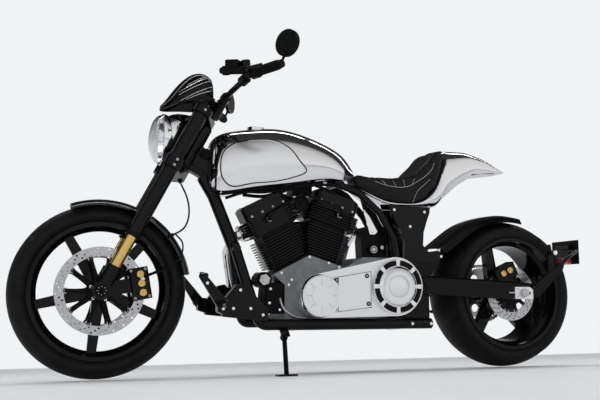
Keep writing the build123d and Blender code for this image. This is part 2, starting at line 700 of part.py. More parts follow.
def crankcase():
    """The case under the barrels, cut to their feet, with the cam chest on its right."""
    profile = [
        (796, 190), (1034, 190), (1044, 214), (1044, 352), (1092, 392), (1092, 408), (1062, 424), (942, 486),
        (820, 448), (796, 426),
    ]
    case = side_plate(profile, case_right, case_left, 8.0)
    for angle in (front_lean, rear_lean):
        foot = cylinder_plane(angle).location * Pos(0, 0, barrel_low)
        case -= foot * Cylinder(barrel_radius + 1.0, 80.0, align=BASE)
        case -= foot * Box(230.0, 230.0, 120.0, align=BASE)
    case += cross_bar(*cam_chest, cam_chest_radius, cam_chest_out, case_right)
    case += cross_bar(*cam_chest, cam_boss_radius, cam_boss_out, cam_chest_out)
    write("crankcase", case)
    return case


def oil_filter(case):
    """The filter's housing on the front of the case, with its canister lying across it."""
    profile = [(1044, 240), (1116, 240), (1122, 262), (1122, 306), (1118, 360), (1044, 360)]
    housing = side_plate(profile, 0, 100.0, 8.0)
    housing = chamfer(housing.faces().sort_by(Axis.Y)[-1].edges(), 5.0)
    canister = cross_bar(1127.0, 371.0, 30.0, 24.0, 112.0)
    canister = chamfer(canister.faces().sort_by(Axis.Y)[-1].edges(), 6.0)
    write("oil_filter", housing + canister - case)


def gearbox():
    """The gearbox behind the case, with the output shaft and its sprocket on the right."""
    profile = [(521, 236), (794, 206), (794, 420), (712, 466), (521, 466)]
    box = side_plate(profile, gearbox_right, case_left, 10.0)
    box += cross_bar(*output_shaft, shaft_radius, chain_y - 8.0, gearbox_right)
    box += cross_bar(*output_shaft, front_sprocket - seat_gap, chain_y - 3.0, chain_y + 3.0)
    write("gearbox", box)


def primary_cover():
    """The belt's cover from crank to clutch: a hull, two stepped rounds, slots and an inspection plate."""
    cover = side_face(hull_circles((crank, primary_front), (clutch, primary_rear)), case_left, primary_face)
    cover += side_face(Pos(*crank) * Circle(78.0), primary_face, primary_out)
    cover += side_face(Pos(*clutch) * Circle(108.0), primary_face, primary_out + 6.0)
    cover += side_face(Pos(*clutch) * (Circle(70.0) - Circle(46.0)), primary_out + 6.0, primary_out + 14.0)
    cover += side_face(Pos(*crank) * (Circle(74.0) - Circle(66.0)), primary_out, primary_out + 3.0)
    cover += side_face(Pos(*crank) * Circle(40.0), primary_out, primary_out + 4.0)
    for i in range(slot_count):
        arc = CenterArc((0, 0), 92.0, i * 360.0 / slot_count + 10.0, 360.0 / slot_count - 20.0)
        cover -= side_face(Pos(*clutch) * SlotArc(arc, 12.0), primary_out - 6.0, primary_out + 6.0)
    inspection = [(862, 246), (862, 386), (718, 410), (718, 262)]
    cover += side_plate(inspection, primary_face, primary_out - 2.0, 10.0)
    write("primary_cover", cover)


def intake():
    """The throttle body in the V, its runners to both heads and the round air cleaner on the right."""
    throat = (crank[0] + throat_height * tan(radians(engine_tilt)), crank[1] + throat_height)
    body = cross_bar(*throat, throat_radius, cleaner_in, 40.0)
    body += cross_bar(*throat, cleaner_radius, cleaner_out, cleaner_in)
    body += cross_bar(*throat, throat_radius + 5.0, 40.0, 58.0)
    for angle, side in ((front_lean, -1), (rear_lean, 1)):
        on_head = cylinder_plane(angle).from_local_coords
        near = on_head(Vector(side * (head_fin[0] + seat_gap), runner_y, 345.0))
        far = on_head(Vector(side * 142.0, runner_y, 345.0))
        body += rod((near.X, near.Y, near.Z), (far.X, far.Y, far.Z), runner_radius)
    write("intake", body)


def pushrods():
    """Two tubes for each cylinder, from the cam chest up to its head."""
    rods = Part()
    for angle in (front_lean, rear_lean):
        for offset in (-pushrod_half, pushrod_half):
            foot_x = crank[0] + (24.0 if angle > 0 else -24.0) + offset * 0.6
            foot = (foot_x, pushrod_foot_y, crank[1] + primary_front)
            top = cylinder_plane(angle).from_local_coords(Vector(offset, pushrod_top_y, barrel_high + 52.0))
            rods += rod(foot, (top.X, top.Y, top.Z), pushrod_radius)
    rods -= cross_bar(*cam_chest, cam_chest_radius + fit, cam_boss_out, case_right)
    write("pushrods", rods)


def electrics_box():
    """The control box on the gearbox, with two round units on its left face."""
    low = 466.0 + seat_gap
    face = gusset_y - seat_gap
    profile = [(572, low), (686, low), (690, 540), (676, 597), (572, 597)]
    box = side_plate(profile, electrics_in, face, 8.0)
    box += cross_bar(640.0, 502.0, 21.0, face, face + 16.0)
    box += cross_bar(598.0, 512.0, 13.0, face, face + 8.0)
    write("electrics_box", box)


def engine():
    cylinder("front_cylinder", front_lean, 1)
    cylinder("rear_cylinder", rear_lean, -1)
    oil_filter(crankcase())
    gearbox()
    primary_cover()
    intake()
    pushrods()
    electrics_box()


def hull_circles(first, second):
    """The face bounded by two circles and their common tangents."""
    circles = [Pos(*centre) * CenterArc((0, 0), radius, 0, 360) for centre, radius in (first, second)]
    return make_hull([edge for circle in circles for edge in circle.edges()])


def chain():
    """The final chain as one loop of round-ended links, each waisted between its pins."""
    rear_in = rear_sprocket + chain_gap
    middle = chain_wall / 2
    waist = chain_wall / 4
    rear_pins = rear_in + middle
    front_pins = front_sprocket + middle
    loop = hull_circles((rear_axle, rear_pins + waist), (output_shaft, front_pins + waist))
    loop -= hull_circles((rear_axle, rear_pins - waist), (output_shaft, front_pins - waist))
    pins = hull_circles((rear_axle, rear_pins), (output_shaft, front_pins)).face().outer_wire()
    count = round(pins.length / link_pitch)
    for i in range(count):
        at = pins.position_at(i / count)
        loop += Pos(at.X, at.Y) * Circle(middle)
    write("drive_chain", side_face(loop, chain_y - chain_width / 2, chain_y + chain_width / 2))


def exhaust():
    front = v_angle / 2 + engine_tilt
    rear = engine_tilt - v_angle / 2
    can_y, can_z = -212.0, 212.0
    start = cylinder_plane(front).from_local_coords(Vector(port_reach, port_y, port_height))
    out = cylinder_plane(front).from_local_coords(Vector(port_reach + 26.0, port_y, port_height))
    route = [(start.X, start.Y, start.Z), (out.X, out.Y, out.Z)]
    route += [(1210.0, -168.0, 492.0), (1178.0, -196.0, 330.0)]
    route += [(1060.0, can_y, can_z + 2.0), (960.0, can_y, can_z), (930.0, can_y, can_z)]
    head_pipe = tube(route[:-1], 22.0, 24.0)
    start = cylinder_plane(rear).from_local_coords(Vector(-port_reach, port_y, port_height))
    out = cylinder_plane(rear).from_local_coords(Vector(-port_reach - 40.0, port_y, port_height))
    route = [(start.X, start.Y, start.Z), (out.X, out.Y, out.Z)]
    route += [(672.0, -160.0, 545.0), (700.0, -206.0, 400.0)]
    route += [(740.0, can_y, 290.0), (744.0, can_y, 240.0)]
    down_pipe = tube(route, 22.0, 24.0)
    shell = rod((930.0, can_y, can_z), (400.0, can_y, can_z), 50.0 + fit)
    head_pipe += rod((960.0, can_y, can_z), (930.0 + seat_gap, can_y, can_z), 22.0)
    write("exhaust_headers", head_pipe + (down_pipe - shell))
    can = rod((930.0, can_y, can_z), (400.0, can_y, can_z), 50.0)
    can -= rod((440.0, can_y, can_z), (400.0, can_y, can_z), 34.0)
    write("muffler", can)


# ---- bodywork ---------------------------------------------------------------------------------
tank_nose = [(-356.0, 451.5, 561.5, 58.0), (-386.0, 407.5, 633.5, 104.0), (-464.0, 413.5, 662.5, 142.0)]
tank_sections = [(*ahead(x, low), steer_foot[2] + high, half) for x, low, high, half in tank_nose]
tank_sections += [
    (1090.0, 742.0, 987.0, 156.0), (930.0, 771.0, 965.0, 138.0),
    (800.0, 784.0, 916.0, 92.0), (722.0, 792.0, 838.0, 42.0),
]


def tank_section(x, low, high, half):
    """One cross-section of the tank: flat below, full sides, crowned top."""
    plane = Plane(origin=(x, 0, 0), x_dir=(0, 1, 0), z_dir=(1, 0, 0))
    tall = high - low
    hip = (0.7 * half, low + 0.82 * tall)
    foot = (0.86 * half, low)
    side = ThreePointArc(foot, (half, low + 0.45 * tall), hip)
    top = ThreePointArc(hip, (0, high), (-hip[0], hip[1]))
    other = ThreePointArc((-hip[0], hip[1]), (-half, low + 0.45 * tall), (-foot[0], foot[1]))
    return plane * make_face([side, top, other, Line((-foot[0], low), foot)])


def tank():
    body = loft([tank_section(*row) for row in tank_sections])
    tunnel = tube(spine_points, spine_radius + 6.0, 60.0)
    tunnel += Pos(1090.0, 0, 745.0) * Box(620.0, 60.0, 120.0)
    tunnel += side_plate(tunnel_outline, -28.0, 28.0)
    tunnel += tube(down_points, down_radius + 2.0, 60.0)
    well = Pos(1140.0, 0, 977.0) * Cylinder(34.0 + fit, 30.0, align=BASE)
    write("fuel_tank", body - tunnel - well)
    write("filler_cap", Pos(1140.0, 0, 977.0 + fit) * Cylinder(34.0, 13.0, align=BASE))


seat_top = [(720, 818), (661, 806), (569, 801), (503, 806), (450, 828), (400, 880), (350, 938), (322, 945)]
seat_bed = [
    (325, 900), (338, 850), (367, 780), (426, 722), (477, 699), (540, 699),
    (600, 710), (660, 737), (720, 771),
]


def plan_face(rows, z_low, z_high):
    """An upright prism over a plan outline given by (x, half width) rows."""
    points = [(x, half) for x, half in rows] + [(x, -half) for x, half in reversed(rows)]
    return Pos(0, 0, z_low) * extrude(outline(points), z_high - z_low)


def seat():
    side = side_plate(seat_top + seat_bed, -140.0, 140.0)
    halves = [(728, 44), (690, 62), (600, 84), (500, 116), (420, 122), (350, 108), (320, 92)]
    plan = plan_face(halves, 640, 1000)
    write("seat", side & plan)


gusset_y = 42.0


plate_size = (180.0, 110.0)
tail_arm_out = arm_out + 12.0


def tail():
    """The tail: its side outline cut to its plan, with the small gusset that holds the seat's front."""
    bed = [(x, z - seat_gap - 0.4) for x, z in seat_bed]
    under = [
        (727, 768), (655, 722), (590, 690), (581, 686 + fit), (387, 686 + fit), (366, 679),
        (238, 786), (155, 834), (17, 855),
    ]
    upper = [(-26, 872), (-24, 882), (87, 931), (180, 953), (298, 949), (320, 944)]
    side = side_plate(under + upper + bed, -140.0, 140.0)
    halves = [
        (727, 46), (690, 64), (600, 88), (500, 118), (420, 124), (350, 114), (300, 104), (180, 78),
        (60, 56), (-27, 36),
    ]
    plan = plan_face(halves, 640, 1000)
    profile = [(706, 757), (610, 704), (577, 616), (630, 566), (652, 566)]
    gusset = side_plate(profile, gusset_y, gusset_y + 6.0, 6.0)
    gusset -= cross_bar(640.0, 578.0, 4.0, gusset_y, gusset_y + 6.0)
    write("tail", (side & plan) + gusset)


def tail_arm():
    """The arm from the left axle block round the tyre, with the number plate and two lamps behind."""
    middle = arm_out + 11.0
    strip = [
        (-46, 312), (-46, 352), (-136, 414), (-204, 462), (-216, 452), (-208, 430), (-162, 384), (-70, 306),
    ]
    carrier = side_plate(strip, arm_out + seat_gap, tail_arm_out, 4.0)
    route = [
        (-196.0, middle - 6.0, 446.0), (-260.0, middle - 20.0, 486.0),
        (-352.0, 108.0, 520.0), (-362.0, 0, 524.0),
    ]
    carrier += tube(route, 8.0, 30.0) + Pos(-366.0, 0, 520.0) * Box(16.0, 90.0, 60.0)
    upright = [(-132, 404), (-168, 420), (-150, 536), (-138, 536)]
    carrier += side_plate(upright, arm_out + 2.0, arm_out + 9.0, 4.0)
    write("tail_arm", carrier)
    write("number_plate", Pos(-376.3, 0, 515.0) * Box(4.0, *plate_size))
    write("tail_lamps", both_sides(Pos(-357.0, 28.0, 474.7) * Rot(0, 90, 0) * Cylinder(15.0, 30.0)))


peg_block = (164.0, 200.0)
peg_arm_out = 212.0


def foot_controls():
    """A bracket on each lower rail with its block, pedal arm, peg and toe piece."""
    profile = [(1130, 214), (1128, 262), (1226, 356), (1252, 350), (1300, 292), (1304, 232), (1228, 224)]
    mount = side_plate(profile, 136.0, peg_block[0], 4.0)
    mount -= tube(cradle_points, frame_tube + seat_gap, 34.0)
    block = side_plate([(1290, 236), (1290, 300), (1330, 300), (1330, 250)], *peg_block, 6.0)
    pedal = [(1298, 252), (1330, 262), (1402, 376), (1398, 394), (1384, 392), (1300, 296)]
    arm = side_plate(pedal, peg_block[1], peg_arm_out, 4.0)
    peg = cross_bar(1312.0, 280.0, 14.0, peg_arm_out, 300.0)
    toe = cross_bar(1388.0, 380.0, 9.0, peg_arm_out, 262.0)
    write("foot_controls", both_sides(mount + block + arm + peg + toe))


# ---- side stand --------------------------------------------------------------------------------
stand_pivot = (1060.0, rail_half + 22.0, rail_height - 42.0)
stand_reach = 38.0
stand_out = 300.0
stand_folded = (860.0, 178.0, 140.0)
pad_wall = 8.0
stand_leg = 9.0


def stand_foot():
    """The middle of the stand's pad, whose sole lies on the floor once the machine leans."""
    c = cos(radians(lean_angle))
    s = sin(radians(lean_angle))
    level = pad_wall / 2 - ride_lift
    return (stand_pivot[0] + stand_reach, stand_out * c - level * s, stand_out * s + level * c)


def stand_plane():
    """A frame at the stand's pivot: the leg folds in its XY plane, about its Z."""
    down = Vector(*stand_foot()) - Vector(*stand_pivot)
    back = Vector(*stand_folded) - Vector(*stand_pivot)
    return Plane(origin=stand_pivot, x_dir=(1, 0, 0), z_dir=down.cross(back).normalized())


def stand_lug():
    """The lug and pin under the left rail that the stand swings on."""
    ear = Pos(0, -15.0, 14.0) * Box(34.0, 60.0, 6.0)
    pin = Cylinder(6.0, 34.0)
    pin += Pos(0, 0, -14.5) * Cylinder(11.0, 5.0)
    return stand_plane().location * (ear + pin)


def stand():
    foot = stand_foot()
    leg = rod(along(stand_pivot, foot, 10.0), along(foot, stand_pivot, 4.0), stand_leg)
    eye = stand_plane().location * Cylinder(15.0, 20.0)
    pad = Pos(*foot) * Rot(lean_angle, 0, 0) * Box(70.0, 46.0, pad_wall)
    bore = stand_plane().location * Cylinder(6.0 + seat_gap, 40.0)
    write("side_stand", leg + eye + pad - bore)


def main():
    front_wheel()
    rear_wheel()
    fork()
    clamps()
    headlamp()
    cowl()
    handlebar()
    gauge()
    front_brake()
    front_fender()
    write("brake_hose", tube(hose_points, hose_radius, smooth_radii(hose_points)))
    print("hose bends", [round(radius) for radius in smooth_radii(hose_points)])
    frame()
    swingarm()
    rear_brake()
    rear_fender()
    engine()
    chain()
    exhaust()
    tank()
    seat()
    tail()
    tail_arm()
    foot_controls()
    stand()


if __name__ == "__main__":
    main()
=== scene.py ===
# %% [markdown]
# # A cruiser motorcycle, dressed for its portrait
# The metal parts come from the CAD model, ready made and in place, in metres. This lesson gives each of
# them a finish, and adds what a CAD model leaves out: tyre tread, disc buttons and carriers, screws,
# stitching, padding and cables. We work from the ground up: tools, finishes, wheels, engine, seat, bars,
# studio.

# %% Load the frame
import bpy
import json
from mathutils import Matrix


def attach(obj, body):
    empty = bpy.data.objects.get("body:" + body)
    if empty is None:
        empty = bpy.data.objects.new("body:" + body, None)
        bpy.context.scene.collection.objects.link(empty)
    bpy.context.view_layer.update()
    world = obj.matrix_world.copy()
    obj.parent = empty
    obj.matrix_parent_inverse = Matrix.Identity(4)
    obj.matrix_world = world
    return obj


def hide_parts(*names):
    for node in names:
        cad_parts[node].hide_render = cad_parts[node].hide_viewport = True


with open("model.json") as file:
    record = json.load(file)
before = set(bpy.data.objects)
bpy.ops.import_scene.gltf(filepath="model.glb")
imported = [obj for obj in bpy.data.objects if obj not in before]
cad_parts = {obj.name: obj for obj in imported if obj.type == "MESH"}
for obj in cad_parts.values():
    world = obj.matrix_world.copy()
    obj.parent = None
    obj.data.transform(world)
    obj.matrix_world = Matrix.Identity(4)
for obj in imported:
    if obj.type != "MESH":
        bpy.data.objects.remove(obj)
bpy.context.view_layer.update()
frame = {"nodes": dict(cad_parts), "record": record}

# %% [markdown]
# ## The machine's own slanted frame
# The machine was drawn upright and then leaned 5 degrees onto its side stand. Pieces are easier to shape
# upright too, so every place below is written in millimetres on the upright machine (X forward from the
# rear tyre's contact, Y to the left, Z up), and one function leans it into the CAD model's frame.

# %% Leaning a point
from math import asin, atan2, cos, pi, radians, sin, sqrt, tau
import bpy
import bmesh
from mathutils import Matrix, Vector

lean = radians(5.0)
origin_x, origin_y = 840.0, 105.11
tyre_crown = 180.0
lift = tyre_crown * (1 - cos(lean))


def leaned(x, y, z):
    """A point of the upright machine, in mm, in the leaning machine's frame, in metres."""
    return Vector(((x - origin_x) / 1000, (y * cos(lean) + z * sin(lean) - origin_y) / 1000,
                   (z * cos(lean) - y * sin(lean) + lift) / 1000))


def turned_by_lean(x, y, z):
    """A direction of the upright machine in the leaning machine's frame."""
    return Vector((x, y * cos(lean) + z * sin(lean), z * cos(lean) - y * sin(lean)))


wheelbase, axle_z = 1734, 325
front_axle, rear_axle = (wheelbase, axle_z), (0, axle_z)
leftward, rightward = (0, 1, 0), (0, -1, 0)
print("rear tyre's contact lies at", [round(v, 4) for v in leaned(0, 0, 0)])

# %% [markdown]
# ## Finishes
# On a real machine each part is painted, plated, polished, cast or moulded, and the eye tells these apart
# by gloss, by grain and by small unevenness. Every finish here is one Principled shader. A noise pattern
# on Object coordinates, which stay with the part, makes its roughness uneven and gives it a fine relief.

# %% A maker of finishes
finishes = {}


def set_up(node, values):
    """Sets a node's sockets, by their names."""
    for socket, value in values.items():
        node.inputs[socket].default_value = value
    return node


def wire(tree, wires):
    """Joins nodes: rows of (node, its output, next node, its input)."""
    for start, output, end, entry in wires:
        tree.links.new(start.outputs[output], end.inputs[entry])


def noise(tree, place, scale, detail=3.0):
    """A noise pattern fixed to the piece, of about 1/scale metres."""
    node = set_up(tree.nodes.new("ShaderNodeTexNoise"), {"Scale": scale, "Detail": detail})
    wire(tree, [(place, "Object", node, "Vector")])
    return node


def finish(name, color, metallic, smooth, rough, patch=12.0, grain=900.0, relief=0.0, coat=0.0, spread=0.0,
           gloss=0.5):
    """One surface: its colour, how metallic it is, its roughness from smooth to rough in patches, and a
    relief of so many metres at the scale of its grain. Spread darkens and lightens the colour unevenly."""
    made = bpy.data.materials.new(name)
    made.use_nodes = True
    tree = made.node_tree
    shader = set_up(tree.nodes["Principled BSDF"],
                    {"Base Color": (*color, 1), "Metallic": metallic, "Specular IOR Level": gloss})
    if coat:
        set_up(shader, {"Coat Weight": coat, "Coat Roughness": 0.03})
    place = tree.nodes.new("ShaderNodeTexCoord")
    patches = noise(tree, place, patch)
    span = set_up(tree.nodes.new("ShaderNodeMapRange"),
                  {"From Min": 0.3, "From Max": 0.7, "To Min": smooth, "To Max": rough})
    wire(tree, [(patches, "Fac", span, "Value"), (span, "Result", shader, "Roughness")])
    if relief:
        fine = noise(tree, place, grain, 4.0)
        bump = set_up(tree.nodes.new("ShaderNodeBump"), {"Distance": relief})
        wire(tree, [(fine, "Fac", bump, "Height"), (bump, "Normal", shader, "Normal")])
    if spread:
        ramp = tree.nodes.new("ShaderNodeValToRGB")
        for stop, place_on, share in zip(ramp.color_ramp.elements, (0.35, 0.65), (1 - spread, 1 + spread)):
            stop.position, stop.color = place_on, (*[min(1, c * share) for c in color], 1)
        tint = noise(tree, place, patch * 3)
        wire(tree, [(tint, "Fac", ramp, "Fac"), (ramp, "Color", shader, "Base Color")])
    finishes[name] = made
    return made


# %% [markdown]
# Gloss black covers most of this machine: black paint under clear lacquer on the frame, wheels, cowl and
# fenders. A coat layer gives the second, sharper reflection that lacquer has.

# %% Painted and polished metal
finish("gloss_black", (0.003, 0.003, 0.0035), 0.0, 0.10, 0.18, relief=0.000008, grain=300.0, coat=0.25,
       gloss=0.06)
finish("polished", (0.80, 0.80, 0.81), 1.0, 0.035, 0.09, relief=0.000015, grain=60.0)
finish("machined", (0.84, 0.845, 0.855), 1.0, 0.28, 0.38, relief=0.00003, grain=700.0)
finish("cast", (0.20, 0.205, 0.21), 0.9, 0.38, 0.55, relief=0.00025, grain=900.0, spread=0.12)
finish("black_satin", (0.004, 0.004, 0.0045), 0.0, 0.34, 0.48, relief=0.00006, grain=1200.0, gloss=0.08)
finish("steel", (0.52, 0.52, 0.53), 1.0, 0.22, 0.36, relief=0.00004, grain=1500.0, spread=0.06)
finish("gold", (0.74, 0.50, 0.17), 1.0, 0.12, 0.2, relief=0.00001)
finish("chrome", (0.86, 0.86, 0.87), 1.0, 0.03, 0.06)
print(len(finishes), "metal finishes")

# %% [markdown]
# Rubber, leather and lenses. Tyre rubber is matt with a fine grain and a dusty bloom; the grips are the
# same but blacker; leather has a pebbled grain of about a millimetre; the lenses pass light.

# %% Soft and clear materials
finish("tyre", (0.007, 0.007, 0.0075), 0.0, 0.45, 0.62, relief=0.00012, grain=1600.0, spread=0.25, gloss=0.12)
finish("rubber", (0.005, 0.005, 0.005), 0.0, 0.5, 0.65, relief=0.0001, grain=1500.0, gloss=0.1)
finish("leather", (0.010, 0.0098, 0.0096), 0.0, 0.36, 0.5, patch=25.0, relief=0.00022, grain=650.0,
       spread=0.18, gloss=0.12)
finish("red", (0.45, 0.01, 0.01), 0.0, 0.1, 0.18, coat=1.0)
lens = finish("glass", (0.97, 0.98, 1.0), 0.0, 0.0, 0.02)
set_up(lens.node_tree.nodes["Principled BSDF"], {"Transmission Weight": 1.0, "IOR": 1.45})
print(len(finishes), "finishes in all")

# %% [markdown]
# ## Dressing the CAD parts
# The record says which slot each part takes its finish from. The finishes above carry the slots' names,
# so each part is dressed by looking its slot up.

# %% Give every CAD part its finish
slot_of = {row["node"]: row["material_slot"] for row in frame["record"]["subparts"]}
for node, thing in frame["nodes"].items():
    thing.data.materials.clear()
    thing.data.materials.append(finishes[slot_of[node]])
print("dressed", len(slot_of), "parts")

# %% [markdown]
# ## Tools for small pieces
# A new piece starts as a bmesh: a bag of vertices and faces. One helper turns it into an object, makes its
# faces point outwards, dresses it, and lets it ride on its body, so that it follows when that body moves.

# %% From a bmesh to a finished piece
sharp_edge = radians(38)


def placed(name, data):
    """A new object with that data, put into the scene."""
    made = bpy.data.objects.new(name, data)
    bpy.context.scene.collection.objects.link(made)
    return made


def baked(thing):
    """A plain mesh of what an object's modifiers make of it."""
    return bpy.data.meshes.new_from_object(thing.evaluated_get(bpy.context.evaluated_depsgraph_get()))


def dressed(name, mesh, body, slot):
    """A mesh as a piece with a finish, riding on a body of the machine."""
    if not mesh.materials:
        mesh.materials.append(finishes[slot])
    made = placed(name, mesh)
    mesh.shade_smooth()
    mesh.set_sharp_from_angle(angle=sharp_edge)
    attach(made, body)
    return made


def piece(name, shape, body, slot):
    """Turns a bmesh into a dressed piece with its faces outwards."""
    bmesh.ops.remove_doubles(shape, verts=shape.verts, dist=0.00001)
    bmesh.ops.recalc_face_normals(shape, faces=shape.faces)
    mesh = bpy.data.meshes.new(name)
    shape.to_mesh(mesh)
    shape.free()
    return dressed(name, mesh, body, slot)


def ring_between(shape, first, second):
    """Joins two equal rings of vertices with quads."""
    for i in range(len(first)):
        j = (i + 1) % len(first)
        shape.faces.new((first[i], first[j], second[j], second[i]))


def loft(shape, rings, capped=True):
    """Skins a row of equal rings, and closes its two ends with flat faces."""
    for one, two in zip(rings, rings[1:]):
        ring_between(shape, one, two)
    if capped:
        shape.faces.new(list(reversed(rings[0])))
        shape.faces.new(rings[-1])


def skinned(shape, sections, around=False):
    """A form through rings of places on the upright machine, in mm, with flat ends or closed on itself."""
    rings = [[shape.verts.new(leaned(*place)) for place in section] for section in sections]
    loft(shape, rings + rings[:1] if around else rings, capped=not around)


def lathe(shape, profile, centre, axis, steps=48):
    """Spins (distance along the axis, radius) pairs about an axis; ends at radius 0 close to a point."""
    along = axis.normalized()
    across = along.orthogonal().normalized()
    other = along.cross(across)
    rings = []
    for distance, radius in profile:
        middle = centre + along * distance
        if radius < 1e-6:
            rings.append([shape.verts.new(middle)])
            continue
        turns = [tau * i / steps for i in range(steps)]
        rings.append([shape.verts.new(middle + (across * cos(a) + other * sin(a)) * radius) for a in turns])
    for one, two in zip(rings, rings[1:]):
        if len(one) == 1 and len(two) == 1:
            continue
        if len(one) == 1 or len(two) == 1:
            tip, edge = (one, two) if len(one) == 1 else (two, one)
            for i in range(steps):
                shape.faces.new((tip[0], edge[i], edge[(i + 1) % steps]))
        else:
            ring_between(shape, one, two)


def bar(shape, points, radius, steps=12, closed=False):
    """A round bar along a polyline of points, with flat ends, or a closed loop."""
    rings = []
    count = len(points)
    side = None
    for i, point in enumerate(points):
        after = points[(i + 1) % count] if closed or i + 1 < count else point
        before = points[i - 1] if closed or i else point
        direction = (after - before).normalized()
        if side is None:
            side = direction.orthogonal().normalized()
        side = (side - direction * side.dot(direction)).normalized()
        other = direction.cross(side)
        size = radius[i] if isinstance(radius, (list, tuple)) else radius
        turns = [tau * k / steps for k in range(steps)]
        rings.append([shape.verts.new(point + (side * cos(a) + other * sin(a)) * size) for a in turns])
    loft(shape, rings + rings[:1] if closed else rings, capped=not closed)


def bars(name, body, slot, lines, steps=8, closed=False):
    """One piece of several bars: rows of (points, radius) in metres."""
    shape = bmesh.new()
    for points, radius in lines:
        bar(shape, points, radius, steps, closed)
    return piece(name, shape, body, slot)


def smooth_line(points, steps=8, closed=False):
    """Points of a smooth line through the given ones (Catmull-Rom)."""
    count = len(points)
    line = []
    for i in range(count if closed else count - 1):
        a, b = points[i - 1] if closed or i else points[0], points[i]
        c, d = points[(i + 1) % count], points[(i + 2) % count] if closed or i + 2 < count else points[-1]
        for k in range(steps):
            t = k / steps
            bend, twist = 2 * a - 5 * b + 4 * c - d, 3 * b - a - 3 * c + d
            line.append(0.5 * ((2 * b) + (c - a) * t + bend * t * t + twist * t ** 3))
    if not closed:
        line.append(points[-1])
    return line


left_side = turned_by_lean(*leftward)
print("the machine's left side points along", [round(v, 3) for v in left_side])

# %% [markdown]
# Outlines that lie on a curved part, such as a bead on the tank, are drawn flat and then cast onto the part's
# surface like a shadow, so that they follow it exactly.

# %% Casting points onto a part
from mathutils.bvhtree import BVHTree

surface_of = {}
clear_of_all = 600


def surface(mesh):
    """A mesh's faces, sorted for rays."""
    return BVHTree.FromPolygons([v.co for v in mesh.vertices], [p.vertices for p in mesh.polygons])


def cast(node, x, s, z):
    """Where a line from the left (s = 1) or right (s = -1) first meets a part, with the normal there."""
    if node not in surface_of:
        surface_of[node] = surface(frame["nodes"][node].data)
    return surface_of[node].ray_cast(leaned(x, s * clear_of_all, z), -left_side * s)[:2]


def cast_line(node, outline, s, steps, sink=0.0, closed=False):
    """A smooth line through (x, z) points, cast onto a part from one side and sunk into it a little."""
    line = []
    for place in smooth_line([Vector((x, 0, z)) for x, z in outline], steps, closed):
        hit, normal = cast(node, place.x, s, place.z)
        if hit:
            line.append(hit - normal * sink)
    return line


print("cast test:", cast("fuel_tank", 1100, 1, 860)[0])

# %% [markdown]
# ## Tyres with a real tread
# A tyre's tread is a short pattern repeated round the wheel. One repeat is drawn flat, as a tile with slanted
# grooves in it. A triangulation cuts the tile along the grooves' edges, the grooves are sunk, and the tile is
# bent round the tyre's crown as many times as it repeats. The sidewalls are then spun in the usual way.

# %% A tread tile
from mathutils.geometry import delaunay_2d_cdt


def teardrop(u, v, length, width, slant):
    """A long pointed groove: its outline round (u, v), as (along, across) pairs."""
    drop = [(-0.5, 0.0), (-0.32, 0.42), (0.1, 0.5), (0.42, 0.36), (0.5, 0.0), (0.42, -0.36), (0.1, -0.5),
            (-0.32, -0.42)]
    turned = []
    for a, b in drop:
        a, b = a * length, b * width
        turned.append(Vector((u + a * cos(slant) - b * sin(slant), v + a * sin(slant) + b * cos(slant))))
    return turned


clear_of_groove = 0.0035


def tread_tile(length, half, grooves, columns, rows):
    """Triangles of one tile, and for each whether it is the floor of a groove."""
    points, faces = [], []
    for i in range(columns + 1):
        for j in range(rows + 1):
            p = Vector((length * i / columns, -half + 2 * half * j / rows))
            on_edge = i in (0, columns) or j in (0, rows)
            if on_edge or min((p - q).length for groove in grooves for q in groove) > clear_of_groove:
                points.append(p)
    for groove in grooves:
        faces.append(list(range(len(points), len(points) + len(groove))))
        points.extend(groove)
    verts, _, tris, _, _, origin = delaunay_2d_cdt(points, [], faces, 0, 0.00001)
    return verts, tris, [bool(o) for o in origin]


